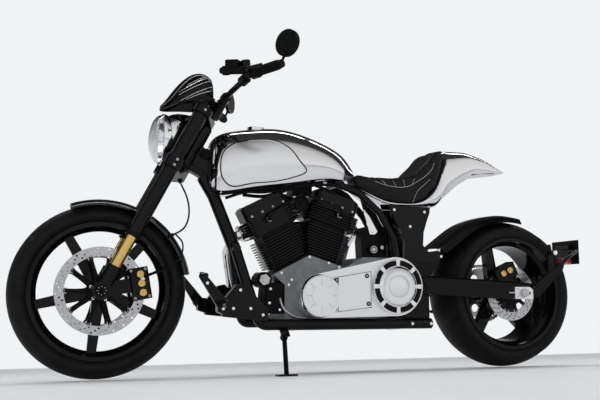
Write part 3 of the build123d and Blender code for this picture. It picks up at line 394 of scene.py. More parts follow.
def tyre_mesh(name, node, body, centre, radius, width, bead, rim_width, crown, repeats, grooves_for, depth):
    """A whole tyre: sunk tread, sidewalls, beads and a plain inside."""
    tread_half = width * 0.47
    shoulder = radius - crown + sqrt(crown ** 2 - tread_half ** 2)
    span = crown * atan2(tread_half, sqrt(crown ** 2 - tread_half ** 2))
    length = tau * radius / repeats
    rows, columns = 16, 6
    verts, tris, sunk = tread_tile(length, span, grooves_for(length, span), columns, rows)
    shape = bmesh.new()

    def place(angle, r, y):
        return leaned(centre[0] + 1000 * r * cos(angle), 1000 * y, centre[1] + 1000 * r * sin(angle))

    def on_tread(u, v, low, step):
        angle = tau * step / repeats + u / radius
        r = radius - crown + (crown - low) * cos(v / crown)
        return place(angle, r, (crown - low) * sin(v / crown))

    for step in range(repeats):
        high = {}
        deep = {}
        for tri, is_sunk in zip(tris, sunk):
            table, low = (deep, depth) if is_sunk else (high, 0.0)
            for k in tri:
                if k not in table:
                    table[k] = shape.verts.new(on_tread(verts[k].x, verts[k].y, low, step))
            shape.faces.new([table[k] for k in tri])
        sides = {}
        for tri, is_sunk in zip(tris, sunk):
            for k in range(len(tri)):
                one, two = tri[k], tri[(k + 1) % len(tri)]
                sides.setdefault((min(one, two), max(one, two)), []).append(is_sunk)
        for (one, two), kinds in sides.items():
            if len(kinds) == 2 and kinds[0] != kinds[1]:
                shape.faces.new((high[one], high[two], deep[two], deep[one]))
    lip = rim_width / 2 - 0.0053
    high_bead = bead + 0.013
    wall = [(shoulder, tread_half)]
    for k in range(1, 10):
        t = k / 10
        curve = 4 * t * (1 - t)
        straight = tread_half + (lip - tread_half) * t
        bulge = curve * (width - tread_half - lip) / 2
        wall.append((shoulder + (high_bead - shoulder) * t, straight + bulge))
    wall += [(high_bead, lip), (bead + 0.0003, lip), (bead + 0.0003, lip - 0.011), (high_bead, lip - 0.011)]
    inner = [(shoulder - 0.009, tread_half - 0.009), (radius - 0.0145, 0.0)]
    turns = repeats * columns
    path = wall + inner + [(r, -y) for r, y in reversed(wall + inner[:1])]
    rings = [[shape.verts.new(place(tau * i / turns, r, y)) for i in range(turns)] for r, y in path]
    loft(shape, rings, capped=False)
    bmesh.ops.remove_doubles(shape, verts=shape.verts, dist=0.00002)
    made = piece(name, shape, body, "tyre")
    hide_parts(node)
    print(name, len(made.data.polygons), "faces")


# %% [markdown]
# The front tyre is narrow and round, with grooves that sweep back from its middle. The rear one is wide and
# flatter, with longer grooves.

# %% Both tyres
def grooves_of(pattern):
    """Both sides' grooves: rows of (along when left, along when right, across, long, wide, slant)."""
    def grooves(length, span):
        return [teardrop(length * (left if s > 0 else right), s * span * across, length * long, wide,
                         s * slant) for s in (1, -1) for left, right, across, long, wide, slant in pattern]
    return grooves


front_grooves = grooves_of([(0.5, 0.5, 0.20, 0.86, 0.0055, 0.42),
                            (0.30, 0.55, 0.62, 0.50, 0.0045, 0.9)])
rear_grooves = grooves_of([(0.5, 0.5, 0.16, 0.90, 0.0065, 0.30), (0.34, 0.6, 0.50, 0.52, 0.006, 0.95),
                           (0.62, 0.36, 0.78, 0.36, 0.005, 1.0)])
tyre_mesh("front_tread", "front_tyre", "front_wheel", front_axle, 0.325, 0.120, 0.2413, 0.094, 0.062, 34,
          front_grooves, 0.0045)
tyre_mesh("rear_tread", "rear_tyre", "rear_wheel", rear_axle, 0.325, 0.240, 0.2286, 0.218, 0.180, 28,
          rear_grooves, 0.0055)

# %% [markdown]
# ## Screws
# A machine is held together by hundreds of screws, and their bright heads catch the eye. They repeat, so
# Geometry Nodes make them: one head is built inside the tree, a socket is sunk in its top, and a copy is put
# on every point, turned to the way that point faces.

# %% The screw tree
def screw_tree():
    """Node tree: a cap screw's head on each point, facing along the point's 'facing' vector."""
    tree = bpy.data.node_groups.new("cap_screws", "GeometryNodeTree")
    sockets = (("Geometry", "INPUT", "Geometry"), ("Head radius", "INPUT", "Float"),
               ("Head height", "INPUT", "Float"), ("Finish", "INPUT", "Material"),
               ("Geometry", "OUTPUT", "Geometry"))
    for name, side, kind in sockets:
        tree.interface.new_socket(name, in_out=side, socket_type="NodeSocket" + kind)
    add = tree.nodes.new
    given, result = add("NodeGroupInput"), add("NodeGroupOutput")
    head = set_up(add("GeometryNodeMeshCylinder"), {"Vertices": 18})
    rim = set_up(add("GeometryNodeExtrudeMesh"), {"Offset Scale": 0.0003})
    shrink = set_up(add("GeometryNodeScaleElements"), {"Scale": 0.55})
    socket = set_up(add("GeometryNodeExtrudeMesh"), {"Offset Scale": -0.0022})
    facing = add("GeometryNodeInputNamedAttribute")
    facing.data_type = "FLOAT_VECTOR"
    set_up(facing, {"Name": "facing"})
    turn = add("FunctionNodeAlignRotationToVector")
    turn.axis = "Z"
    copies = add("GeometryNodeInstanceOnPoints")
    real = add("GeometryNodeRealizeInstances")
    dress = add("GeometryNodeSetMaterial")
    wire(tree, ((given, "Head radius", head, "Radius"), (given, "Head height", head, "Depth"),
                (head, "Mesh", rim, "Mesh"), (head, "Top", rim, "Selection"),
                (rim, "Mesh", shrink, "Geometry"), (rim, "Top", shrink, "Selection"),
                (shrink, "Geometry", socket, "Mesh"), (rim, "Top", socket, "Selection"),
                (given, "Geometry", copies, "Points"), (socket, "Mesh", copies, "Instance"),
                (facing, "Attribute", turn, "Vector"), (turn, "Rotation", copies, "Rotation"),
                (copies, "Instances", real, "Geometry"), (real, "Geometry", dress, "Geometry"),
                (given, "Finish", dress, "Material"), (dress, "Geometry", result, "Geometry")))
    return tree


screw_maker = screw_tree()


def grown(name, points, facings, tree, settings, body, slot):
    """Runs a node tree over points that face given ways, and keeps the result as a plain mesh piece."""
    seed = bpy.data.meshes.new(name + "_points")
    seed.from_pydata([tuple(p) for p in points], [], [])
    facing = seed.attributes.new("facing", "FLOAT_VECTOR", "POINT")
    for i, way in enumerate(facings):
        facing.data[i].vector = way
    holder = placed(name + "_points", seed)
    nodes = holder.modifiers.new("grow", "NODES")
    nodes.node_group = tree
    for item in tree.interface.items_tree:
        if item.item_type == "SOCKET" and item.in_out == "INPUT" and item.name in settings:
            nodes[item.identifier] = settings[item.name]
    mesh = baked(holder)
    bpy.data.objects.remove(holder)
    return dressed(name, mesh, body, slot)


def screws(name, rows, body, slot="steel", radius=4.2, height=3.0):
    """Screws at (x, y, z) places on the upright machine, in mm, each with the way that it faces."""
    points = [leaned(x, y, z) for (x, y, z), _ in rows]
    facings = [turned_by_lean(*way) for _, way in rows]
    settings = {"Head radius": radius / 1000, "Head height": height / 1000, "Finish": finishes[slot]}
    grown(name, points, facings, screw_maker, settings, body, slot)
    print(name, len(rows), "screws")


def on_circle(centre, size, y, count, turn=0.0):
    """Places evenly round a circle seen from the side, about an (x, z) centre."""
    turns = [tau * k / count + turn for k in range(count)]
    return [(centre[0] + size * cos(a), y, centre[1] + size * sin(a)) for a in turns]


def facing_out(places, way=leftward):
    """Each place with the way that it faces."""
    return [(place, way) for place in places]


def on_both(places):
    """Each place on the left with its twin on the right, all facing outwards."""
    return [((x, s * y, z), (0, s, 0)) for s in (1, -1) for x, y, z in places]


# %% [markdown]
# The rear side plates carry three big polished screws each, and a pair holds each end of the lower rail. The
# primary cover has a ring of them, four more on its inspection plate, and the front hub five.

# %% Screws on the chassis
plate_at = [(562, 668), (420, 664), (489, 600), (352, 504), (344, 478), (334, 510)]
plate_at = [(x, 95.5, z) for x, z in plate_at] + [(515, 151.8, 200), (430, 151.8, 200)]
screws("plate_screws", on_both(plate_at), "chassis", "chrome", 6.0, 4.0)
crank = front_round = (927, 310)
rear_round = (606, 348)
inspection_at = ((874, 262), (866, 370), (738, 388), (732, 280))
cover_at = [(x, 203.5, z) for x, z in inspection_at]
cover_at += on_circle(rear_round, 104, 212.0, 6, radians(20)) + on_circle(rear_round, 38, 212.0, 5)
screws("cover_screws", facing_out(cover_at), "chassis", "steel", 3.6, 3.0)

# %% [markdown]
# ## The seat
# The seat is leather over foam: one padded form whose top is ribbed across and edged with piping. The CAD
# model gives its outline. A copy is remeshed evenly, and a cloth simulation blows it up a little, as foam
# fills a cover, so its flat sides crown and its edges round off.

# %% Blow up the seat's form
def settle(made, kind, name, **settings):
    """Adds a modifier with its settings and keeps what it makes as the object's own mesh."""
    modifier = made.modifiers.new(name, kind)
    for setting, value in settings.items():
        setattr(modifier, setting, value)
    mesh = baked(made)
    made.modifiers.clear()
    made.data = mesh
    return mesh


def padded_form(name, node, voxel, cap, pressure=4.0):
    """A copy of a CAD part as an even mesh, swollen by a cloth simulation by no more than cap metres."""
    mesh = frame["nodes"][node].data.copy()
    made = placed(name, mesh)
    clean = bmesh.new()
    clean.from_mesh(mesh)
    bmesh.ops.remove_doubles(clean, verts=clean.verts, dist=0.00002)
    clean.to_mesh(mesh)
    clean.free()
    remesh = made.modifiers.new("even", "REMESH")
    remesh.mode = "VOXEL"
    remesh.voxel_size = voxel
    mesh = settle(made, "SMOOTH", "soft", iterations=6, factor=0.5)
    start = [v.co.copy() for v in mesh.vertices]
    cloth = made.modifiers.new("air", "CLOTH")
    cloth.settings.use_pressure = True
    cloth.settings.uniform_pressure_force = pressure
    cloth.settings.quality = 5
    cloth.settings.effector_weights.gravity = 0.0
    scene = bpy.context.scene
    for step in range(1, 21):
        scene.frame_set(step)
    swollen = baked(made)
    made.modifiers.clear()
    scene.frame_set(1)
    for vertex, place in zip(swollen.vertices, start):
        move = vertex.co - place
        vertex.co = place + move * min(1.0, cap / max(move.length, 1e-9))
    made.data = swollen
    settle(made, "SMOOTH", "settle", iterations=10, factor=0.6)
    print(name, len(made.data.vertices), "points")
    return made


seat = padded_form("seat_cover", "seat", 0.006, 0.006)

# %% [markdown]
# The cover's top is sewn in ribs across, each about 26 mm wide, from just behind the tank to the hump, and
# the hump has ribs of its own. A rib swells between two seams, so the seams are pressed in along the mesh's
# normals. The sides stay smooth.

# %% Sew the ribs
def upright(point):
    """The place on the upright machine, in mm, of a point of the leaning one."""
    y, z = point.y * 1000 + origin_y, point.z * 1000 - lift
    return point.x * 1000 + origin_x, y * cos(lean) - z * sin(lean), y * sin(lean) + z * cos(lean)


def at(rows, x):
    """The value at a station, between the rows of (station, value) that lie round it."""
    for (x0, v0), (x1, v1) in zip(rows, rows[1:]):
        if min(x0, x1) <= x <= max(x0, x1):
            return v0 + (v1 - v0) * (x - x0) / (x1 - x0)
    return rows[-1][1]


seat_half = [(728, 44), (690, 62), (600, 84), (500, 116), (420, 122), (350, 108), (320, 92)]
rib_pitch, rib_depth, piping_inset = 24.0, 0.0045, 20.0
fine = settle(seat, "SUBSURF", "finer", levels=1, render_levels=1)
normals = [v.normal.copy() for v in fine.vertices]
for vertex, normal in zip(fine.vertices, normals):
    x, y, z = upright(vertex.co)
    across = abs(y) / max(1.0, at(seat_half, x) - piping_inset) if 335 < x < 712 else 1.0
    facing_up = turned_by_lean(-0.45 if x < 470 else 0.0, 0, 1).normalized().dot(normal)
    if facing_up > 0.35 and across < 1.0:
        travel = x if x > 470 else 470 - (470 - x) * 1.55
        seam = abs(sin(pi * travel / rib_pitch)) ** 0.6
        edge = min(1.0, (1.0 - across) * 6.0) * min(1.0, (facing_up - 0.35) * 5.0)
        vertex.co -= normal * rib_depth * (1.0 - seam) * edge
fine.materials.clear()
fine.materials.append(finishes["leather"])
fine.shade_smooth()
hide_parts("seat")
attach(seat, "chassis")
print("sewn", len(fine.vertices), "points")

# %% [markdown]
# Piping covers the seam between the ribbed top and the smooth sides: a thin cord of leather laid along a
# line cast onto the seat, as high as the cover is there.

# %% Piping
surface_of["seat_cover"] = surface(fine)
down = turned_by_lean(0, 0, -1)
edge_line = []
for s, stations in ((1, range(706, 340, -16)), (-1, range(346, 712, 16))):
    for x in stations:
        y = s * (at(seat_half, x) - piping_inset + 3.0)
        place, normal, _, _ = surface_of["seat_cover"].ray_cast(leaned(x, y, 1100), down)
        if place:
            edge_line.append(place - normal * 0.0006)
bars("seat_piping", "chassis", "rubber", [(smooth_line(edge_line, 3, closed=True), 0.0026)], closed=True)
print("piping of", len(edge_line), "stations")

# %% [markdown]
# ## Brakes
# A caliper's pistons push the pads onto the disc. Their gold caps show on the outer face: three on each front
# caliper, and two on the rear one. Each cap is spun: a rim, a shallow dish and a small boss.

# %% Piston caps
def caps(name, body, rows, radius=14.0, height=7.0, slot="gold"):
    """Spun caps at (x, y, z) places on the upright machine: a chamfered rim, a shallow dish and a boss."""
    section = [(0, 0), (0, 1), (0.75, 1), (1, 0.9), (1, 0.74), (0.55, 0.66), (0.5, 0.3), (0.8, 0.22),
               (0.8, 0)]
    shape = bmesh.new()
    for x, y, z in rows:
        profile = [(d * height / 1000, r * radius / 1000) for d, r in section]
        lathe(shape, profile, leaned(x, y, z), left_side * (1 if y > 0 else -1), 28)
    piece(name, shape, body, slot)


def around(centre, angle, out, along):
    """A side-view point given by how far out and along it lies on a line turned by that angle."""
    a = radians(angle)
    return centre[0] + out * cos(a) - along * sin(a), centre[1] + out * sin(a) + along * cos(a)


front_caliper = [around(front_axle, 169.0, 146.0, step) for step in (-34.0, 0.0, 34.0)]
caps("front_pistons", "steering", [(x, s * 97.0, z) for s in (1, -1) for x, z in front_caliper])
rear_caliper = [around(rear_axle, 66.0, 100.0, step) for step in (-18.0, 18.0)]
caps("rear_pistons", "chassis", [(x, 124.0, z) for x, z in rear_caliper])

# %% [markdown]
# ## The tank's raised panel
# A bead runs round the bright panel on each side of the tank, where the metal was pressed. Its outline is
# drawn from the side and cast onto the tank. The bead is black: painted shade and painted dark reflection
# along the panel's edge. Just inside it runs a polished edge.

# %% Beads on the tank
panel = [(1290, 868), (1240, 902), (1154, 916), (1096, 914), (1040, 886), (1000, 838), (968, 800),
         (1010, 776), (1096, 752), (1185, 740), (1262, 726), (1300, 760), (1306, 820)]
for s, side_name in ((1, "left"), (-1, "right")):
    line = cast_line("fuel_tank", panel, s, 5, 0.0006, closed=True)
    # black finish on the bead: painted shade and painted dark reflection along the panel's edge
    bars("tank_shade_bead_" + side_name, "chassis", "black_satin", [(line, 0.0030)], closed=True)
    middle = sum(line, Vector()) / len(line)
    edge = [point.lerp(middle, 0.045) for point in line]
    bars("tank_panel_edge_" + side_name, "chassis", "polished", [(edge, 0.0040)], closed=True)
print("bead of", len(line), "points")

# %% [markdown]
# Inside the bead the panel was rubbed to a softer shine than the tank round it. It is a thin patch of the
# tank's surface: a grid of points within the outline, cast onto the tank and given a small thickness.

# %% Satin panels
outline = [Vector((p.x, p.z)) for p in smooth_line([Vector((x, 0, z)) for x, z in panel], 5, closed=True)]
grid = [Vector((x, z)) for x in range(970, 1310, 13) for z in range(728, 916, 13)]
for s, side_name in ((1, "left"), (-1, "right")):
    flat, _, cells, *_ = delaunay_2d_cdt(outline + grid, [], [list(range(len(outline)))], 1, 0.5)
    shape = bmesh.new()
    faces = ({}, {})
    for i in {i for cell in cells for i in cell}:
        hit, _ = cast("fuel_tank", flat[i].x, s, flat[i].y)
        for corners, rise in zip(faces, (0.0006, -0.0008)):
            corners[i] = shape.verts.new(hit + left_side * s * rise)
    rim = {}
    for cell in cells:
        shape.faces.new([faces[0][i] for i in cell])
        shape.faces.new([faces[1][i] for i in reversed(cell)])
        rim.update(((a, b), True) for a, b in zip(cell, cell[1:] + cell[:1]))
    for a, b in rim:
        if (b, a) not in rim:
            shape.faces.new((faces[0][b], faces[0][a], faces[1][a], faces[1][b]))
    piece("tank_panel_" + side_name, shape, "chassis", "machined")

# %% [markdown]
# ## Tools for turned parts and pipes
# Most small parts of a machine are turned on a lathe: caps, nuts, washers, rings. One function spins a whole
# set of them from (distance, radius) pairs in millimetres. A second one bends a set of pipes or wires along
# smooth lines.

# %% Turned sets and bent sets
def spun(name, body, slot, rows, steps=32):
    """One piece of several turned parts: rows of (place, direction, profile), upright, in mm."""
    shape = bmesh.new()
    for place, way, profile in rows:
        pairs = [(distance / 1000, radius / 1000) for distance, radius in profile]
        lathe(shape, pairs, leaned(*place), turned_by_lean(*way), steps)
    return piece(name, shape, body, slot)


def bent(name, body, slot, rows, steps=10):
    """One piece of several pipes or wires: rows of (points, radius), upright, in mm."""
    shape = bmesh.new()
    for points, radius in rows:
        bar(shape, smooth_line([leaned(*p) for p in points], 6), radius / 1000, steps)
    return piece(name, shape, body, slot)


def both(rows):
    """The rows given for the left side and their twins on the right."""
    twins = []
    for place, way, profile in rows:
        twins.append(((place[0], -place[1], place[2]), (way[0], -way[1], way[2]), profile))
    return rows + twins


def ring(inner, outer, low, high):
    """The closed section of a plain ring."""
    return [(low, inner), (low, outer), (high, outer), (high, inner), (low, inner)]


steer_foot = Vector((1693.905, 0, 304.57))
rake = radians(27.0)
fork_up = Vector((-sin(rake), 0, cos(rake)))
fork_out = Vector((cos(rake), 0, sin(rake)))


def on_fork(out, y, up):
    """A place given from the foot of the steering axis: out in front of it, to the left, and up along it."""
    return steer_foot + fork_out * out + fork_up * up + Vector((0, y, 0))


print("fork top at", [round(v) for v in on_fork(45, 105, 790)])

# %% [markdown]
# ## The fork's trim
# Each fork leg ends in a knurled cap at the top. Where the gold tube slides into the black one a rubber seal
# wipes it clean. Screws pinch the two clamps round the legs, and the bar clamps round the handlebar.

# %% Fork trim
cap_section = [(0, 0), (0, 25), (5, 25), (7, 23), (7, 13), (14, 13), (15, 12), (15, 0)]
spun("fork_caps", "steering", "gloss_black", both([(on_fork(45, 105, 790.2), fork_up, cap_section)]))
spun("fork_seals", "steering", "rubber", both([(on_fork(45, 105, 222), fork_up, ring(22, 30.5, 0, 16))]))
pinch = []
for s in (1, -1):
    for out, y, height in ((40, 143.6, 526), (40, 143.6, 549), (40, 142.6, 772)):
        pinch.append((on_fork(out, s * y, height), (0, s, 0)))
    pinch += [((1271.9, s * 55 + shift, 1105.67), fork_up) for shift in (-10, 10)]
screws("pinch_screws", pinch, "steering", "steel", 5.0, 4.0)

# %% [markdown]
# ## The headlamp
# Behind the clear lens sit a polished reflector and a hooded bulb, and a bright rim holds the lens.

# %% Headlamp
ahead = (1, 0, 0)
lamp = (1499.9, 0, 912.07)
reflector = [(-50, 0), (-50, 22), (-40, 48), (-24, 68), (-8, 80), (-1, 83), (-1, 81), (-9, 78), (-25, 66),
             (-41, 46), (-48, 22), (-48, 0)]
bulb = [(-47.5, 0), (-47.5, 13), (-14, 13), (-8, 15), (-4, 11), (-4, 0)]
spun("lamp_reflector", "steering", "chrome", [(lamp, ahead, reflector)], 64)
spun("lamp_bulb", "steering", "black_satin", [(lamp, ahead, bulb)])
rim_at, lens_size, lens_bulge, lens_wall = 24, 97, 46, 4
rim_profile = [(-8, 92), (8, 99), (18, 102), (rim_at, 101), (rim_at, 95), (10, 92), (-8, 89), (-8, 92)]
spun("lamp_rim", "steering", "chrome", [(lamp, ahead, rim_profile)], 64)


def dome(bulge, size, degrees_at):
    """A quarter of an oval, standing on the rim."""
    return [(rim_at + bulge * cos(radians(a)), size * sin(radians(a))) for a in degrees_at]


dome_out = dome(lens_bulge, lens_size, range(90, 0, -9)) + [(rim_at + lens_bulge, 0)]
dome_in = [(rim_at + lens_bulge - lens_wall, 0)]
dome_in += dome(lens_bulge - lens_wall, lens_size - lens_wall, range(9, 91, 9))
lens_profile = dome_out + dome_in + dome_out[:1]
lens_piece = spun("lamp_lens", "steering", "glass", [(lamp, ahead, lens_profile)], 64)
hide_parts("headlamp_lens")

# %% [markdown]
# Behind the rim the bright bucket keeps its full height along the top, under the cowl, and rises below
# towards the fork. It is a shell, so its sections run back outside, round the rear lip and forward inside.

# %% Headlamp bucket
bucket_rows = [(2, 94, -91), (-14, 102, -84), (-34, 107, -62), (-54, 108, -36), (-74, 107, -12),
               (-92, 104, 10)]
shape = bmesh.new()
sections = []
for thinner, rows in ((0, bucket_rows), (3, reversed(bucket_rows))):
    for back, high, low in rows:
        size, rise = (high - low) / 2 - thinner, (high + low) / 2
        wide = min(72, size) if back < -40 else size
        sections.append([(lamp[0] + back, wide * cos(a), lamp[2] + rise + size * sin(a))
                         for a in (tau * k / 48 for k in range(48))])
skinned(shape, sections, around=True)
piece("lamp_bucket", shape, "steering", "chrome")

# %% [markdown]
# ## The front brake's hose
# A rubber hose hangs in a bow from the union on the lower clamp to the one on the mudguard. Its line is a
# smooth spline through the same route as the CAD tube, thickened to the hose's diameter.

# %% Brake hose
hose_route = [(1441.9, 0, 746.1), (1423.9, 2, 712.1), (1410.9, 5, 676.1), (1405.9, 9, 638.1),
              (1409.9, 14, 601.1), (1423.9, 22, 570.1), (1445.9, 30, 551.1), (1469.9, 36, 540.1)]
hose_points = [leaned(*place) for place in hose_route]
hose_line = bpy.data.curves.new("brake_hose_cord", "CURVE")
hose_line.dimensions = "3D"
hose_line.resolution_u = 12
spline = hose_line.splines.new("NURBS")
spline.points.add(len(hose_points) - 1)
for control, place in zip(spline.points, hose_points):
    control.co = (*place, 1.0)
spline.order_u = 3
spline.use_endpoint_u = True
hose = placed("brake_hose_cord", hose_line)
traced = [v.co for v in baked(hose).vertices]
hose_length = sum((b - a).length for a, b in zip(traced, traced[1:]))
hose_line.bevel_depth = 0.0035
hose_line.bevel_resolution = 4
hose_line.use_fill_caps = True
hose_line.materials.append(finishes["rubber"])
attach(hose, "steering")
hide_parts("brake_hose")
tuple(hose_points[0])
print("hose length", round(hose_length, 4))

# %% [markdown]
# ## The cowl's flutes
# Flutes run from the cowl's rear edge on each side and close in on each other towards its tip. Their
# highlights are painted: each one is a slim chrome bar laid along points drawn from the side and cast
# onto the black shell, bright where a black flute would only catch a highlight.

# %% Flutes on the cowl
flutes = [
    [(1355, 1158), (1393, 1138), (1430, 1116), (1468, 1092)],
    [(1349, 1143), (1389, 1124), (1429, 1103), (1469, 1080)],
    [(1345, 1117), (1384, 1098), (1424, 1078), (1464, 1055)],
    [(1345, 1099), (1378, 1088), (1410, 1075), (1443, 1060)],
    [(1366, 1161), (1390, 1149), (1414, 1135), (1438, 1120)],
]
flute_highlight_lines = []
for s in (1, -1):
    for flute in flutes:
        line = cast_line("cowl", flute, s, 4)
        if len(line) > 2:
            flute_highlight_lines.append((line, [0.0016 - 0.0011 * step / len(line) for step in range(len(line))]))
# chrome bars: painted highlights along the black flutes
bars("cowl_flute_highlights", "steering", "chrome", flute_highlight_lines)

# %% [markdown]
# ## Bars, mirrors and the clock
# The grips are ringed so that they don't slip in a glove. The mirrors' glass faces the rider. The clock sits
# behind the cowl: a bright bezel, a black dial with marks, and a red hand.

# %% Grips, mirrors, clock
bar_tip, bar_bend = Vector((1175.9, 424, 1125.07)), Vector((1242.9, 292, 1122.07))
grip_way = (bar_bend - bar_tip).normalized()
grip_rows = [(bar_tip + grip_way * (6 + 7.6 * k), grip_way, ring(15.5, 18.6, 0, 3.8)) for k in range(14)]
spun("grip_rings", "steering", "rubber", both(grip_rows), 24)
mirror = Vector((1145.9, 430, 1206.07))
mirror_way = Vector((-cos(radians(34)), -sin(radians(34)), 0))
glass_rows = both([(mirror + mirror_way * 6.9, mirror_way, [(0, 0), (0, 46), (0.9, 45.4), (0.9, 0)])])
spun("mirror_glass", "steering", "chrome", glass_rows, 48)
tip_back = radians(12)
clock_way = fork_up * cos(tip_back) - fork_out * sin(tip_back)
clock = on_fork(10, 0, 847)
face = clock + clock_way * 15
spun("clock_bezel", "steering", "chrome", [(face, clock_way, ring(29, 34.5, -3, 4))], 48)
spun("clock_dial", "steering", "rubber", [(face, clock_way, [(0, 0), (0, 29), (0.8, 29), (0.8, 0)])], 48)
clock_side = Vector(leftward)
clock_ahead = clock_side.cross(clock_way)


def on_clock(degree, height, sizes):
    """Places above the dial, from its middle outwards, in the direction of a hand."""
    way = clock_side * sin(radians(degree)) + clock_ahead * cos(radians(degree))
    return [leaned(*(clock + clock_way * height + way * size)) for size in sizes]


marks = [(on_clock(-135 + 27 * k, 16.2, (20, 26)), 0.0006) for k in range(11)]
bars("clock_marks", "steering", "chrome", marks, 6)
bars("clock_hand", "steering", "red", [(on_clock(-135, 17, (-5, 22)), [0.0012, 0.0005])], 6)

# %% [markdown]
# Wires run from the switches on the bar down to the head, and each front brake has a hose of its own from
# the fender's bracket down to its caliper.

# %% Wires and small hoses
def twin(routes):
    """Each route and its mirror image: rows of (points, radius)."""
    return [([(x, s * y, z) for x, y, z in points], radius) for s in (1, -1) for points, radius in routes]


bar_wires = [([(1262, 214, 1098), (1286, 176, 1074), (1308, 120, 1052), (1328, 62, 1032)], 3.0),
             ([(1262, 222, 1098), (1290, 182, 1066), (1314, 124, 1040), (1334, 60, 1020)], 2.2)]
bent("bar_wires", "steering", "rubber", twin(bar_wires))
caliper_route = [(1462, 40, 540), (1440, 70, 505), (1452, 98, 452), (1500, 112, 410), (1560, 108, 384),
                 (1588, 100, 372)]
bent("caliper_hoses", "steering", "rubber", twin([(caliper_route, 3.2)]))
caliper_at = [around(front_axle, 169.0, out, step) for out in (115, 167) for step in (-50, 50)]
screws("caliper_screws", on_both([(x, 97.0, z) for x, z in caliper_at]), "steering", "steel", 4.6, 3.5)
banjo = [(0, 0), (0, 8), (9, 8), (9, 5.5), (14, 5.5), (14, 0)]
spun("banjos", "steering", "chrome", both([((1588, 92, 370), leftward, banjo)]), 20)

# %% [markdown]
# ## Hubs and discs
# Each disc hangs on round buttons that let it grow when hot. Five screws hold its carrier to the hub, and a
# black satin cap with a ring of tiny screws closes the axle.

# %% Hubs and discs
screws("front_disc_buttons", on_both(on_circle(front_axle, 126, 70.5, 10)), "front_wheel", "steel", 6.0, 0.8)
hub_at = on_circle(front_axle, 37, 70.5, 5, 0.4)
screws("front_hub_screws", on_both(hub_at), "front_wheel", "chrome", 5.0, 2.0)
screws("rear_disc_buttons", facing_out(on_circle(rear_axle, 82, 94.5, 10)), "rear_wheel", "steel", 5.0, 0.8)
sprocket_at = on_circle(rear_axle, 52, -136.2, 6, radians(30))
screws("sprocket_screws", facing_out(sprocket_at, rightward), "rear_wheel", "steel", 6.0, 3.0)
axle_cap = [(0, 0), (0, 22), (3, 22), (5, 19), (5, 10), (2.5, 8.5), (2.5, 0)]
spun("axle_caps", "steering", "black_satin", both([((1734, 137, 325), leftward, axle_cap)]))
screws("axle_cap_screws", on_both(on_circle(front_axle, 14.5, 142, 8)), "steering", "steel", 1.8, 1.0)

# %% [markdown]
# ## The rear axle's ends
# A big nut holds the axle in each block. A stud pulls the block back to tighten the chain, and two screws
# lock it.

# %% Axle nuts and adjusters
nut = [(0, 0), (0, 21), (2.5, 21), (2.5, 18.5), (13, 18.5), (14, 17), (14, 0)]
spun("axle_nuts", "chassis", "steel", both([((0, 188, 325), leftward, nut)]), 6)
bent("adjusters", "chassis", "steel", twin([([(44, 181, 327), (72, 181, 327)], 4.0)]), 12)
lock_rows = []
for s in (1, -1):
    lock_rows += facing_out([(-45, s * 181, z) for z in (314, 332)], (-1, 0, 0))
    lock_rows += facing_out([(31, s * 188, z) for z in (342, 310)], (0, s, 0))
screws("adjuster_screws", lock_rows, "chassis", "steel", 3.8, 3.0)

# %% [markdown]
# ## Round the engine
# The rocker covers and the crankcase halves are screwed together along their edges. Each cylinder has a
# spark plug with a thick lead, and the fuel system sits between the two heads.

# %% Places on a cylinder
def cylinder_way(front, across, y, up):
    """A direction across a cylinder's bore, to the left, and up along the bore."""
    a = radians(27.5 if front else -17.5)
    return across * cos(a) + up * sin(a), y, up * cos(a) - across * sin(a)


def on_cylinder(front, across, y, up):
    """A place given from the crank in the same terms."""
    x, y, z = cylinder_way(front, across, y, up)
    return crank[0] + x, y, crank[1] + z


# The two heads are turned about, so what lies behind one bore lies before the other.
heads = ((True, 1), (False, -1))
plug_way = (0, 1, 0.2)
plug = [(0, 0), (0, 11), (7, 11), (7, 7), (14, 7), (14, 0)]
boot = [(0, 0), (0, 7.5), (4, 9), (30, 6.5), (32, 0)]
cover_rows, plugs, boots, leads = [], [], [], []
for front, flip in heads:
    for s in (1, -1):
        cover_rows += [(on_cylinder(front, flip * 2 + across, s * 72, 384), (0, s, 0))
                       for across in (-72, -24, 24, 72)]
        cover_rows += [(on_cylinder(front, flip * 2 + across, s * 52, 432), cylinder_way(front, 0, 0, 1))
                       for across in (-66, 66)]
    plugs.append((on_cylinder(front, flip * 20, 78, 344), plug_way, plug))
    boots.append((on_cylinder(front, flip * 20, 90, 347), plug_way, boot))
    x, y, z = on_cylinder(front, flip * 20, 118, 352)
    coil_end = [(959 + flip * 26, 96, 706), (959 + flip * 12, 72, 716), (959 + flip * 8, 50, 706)]
    leads.append(([(x, y, z), (x - flip * 22, y + 2, z + 26)] + coil_end, 4.0))
screws("rocker_screws", cover_rows, "chassis", "steel", 4.6, 3.0)
spun("plugs", "chassis", "steel", plugs, 6)
spun("plug_boots", "chassis", "rubber", boots, 18)
bent("plug_leads", "chassis", "rubber", leads)

# %% [markdown]
# The coil that feeds the plugs is a finned block between the heads, with the throttle's round body below it
# and a fuel rail above. Hoses and wires run back from them under the tank.

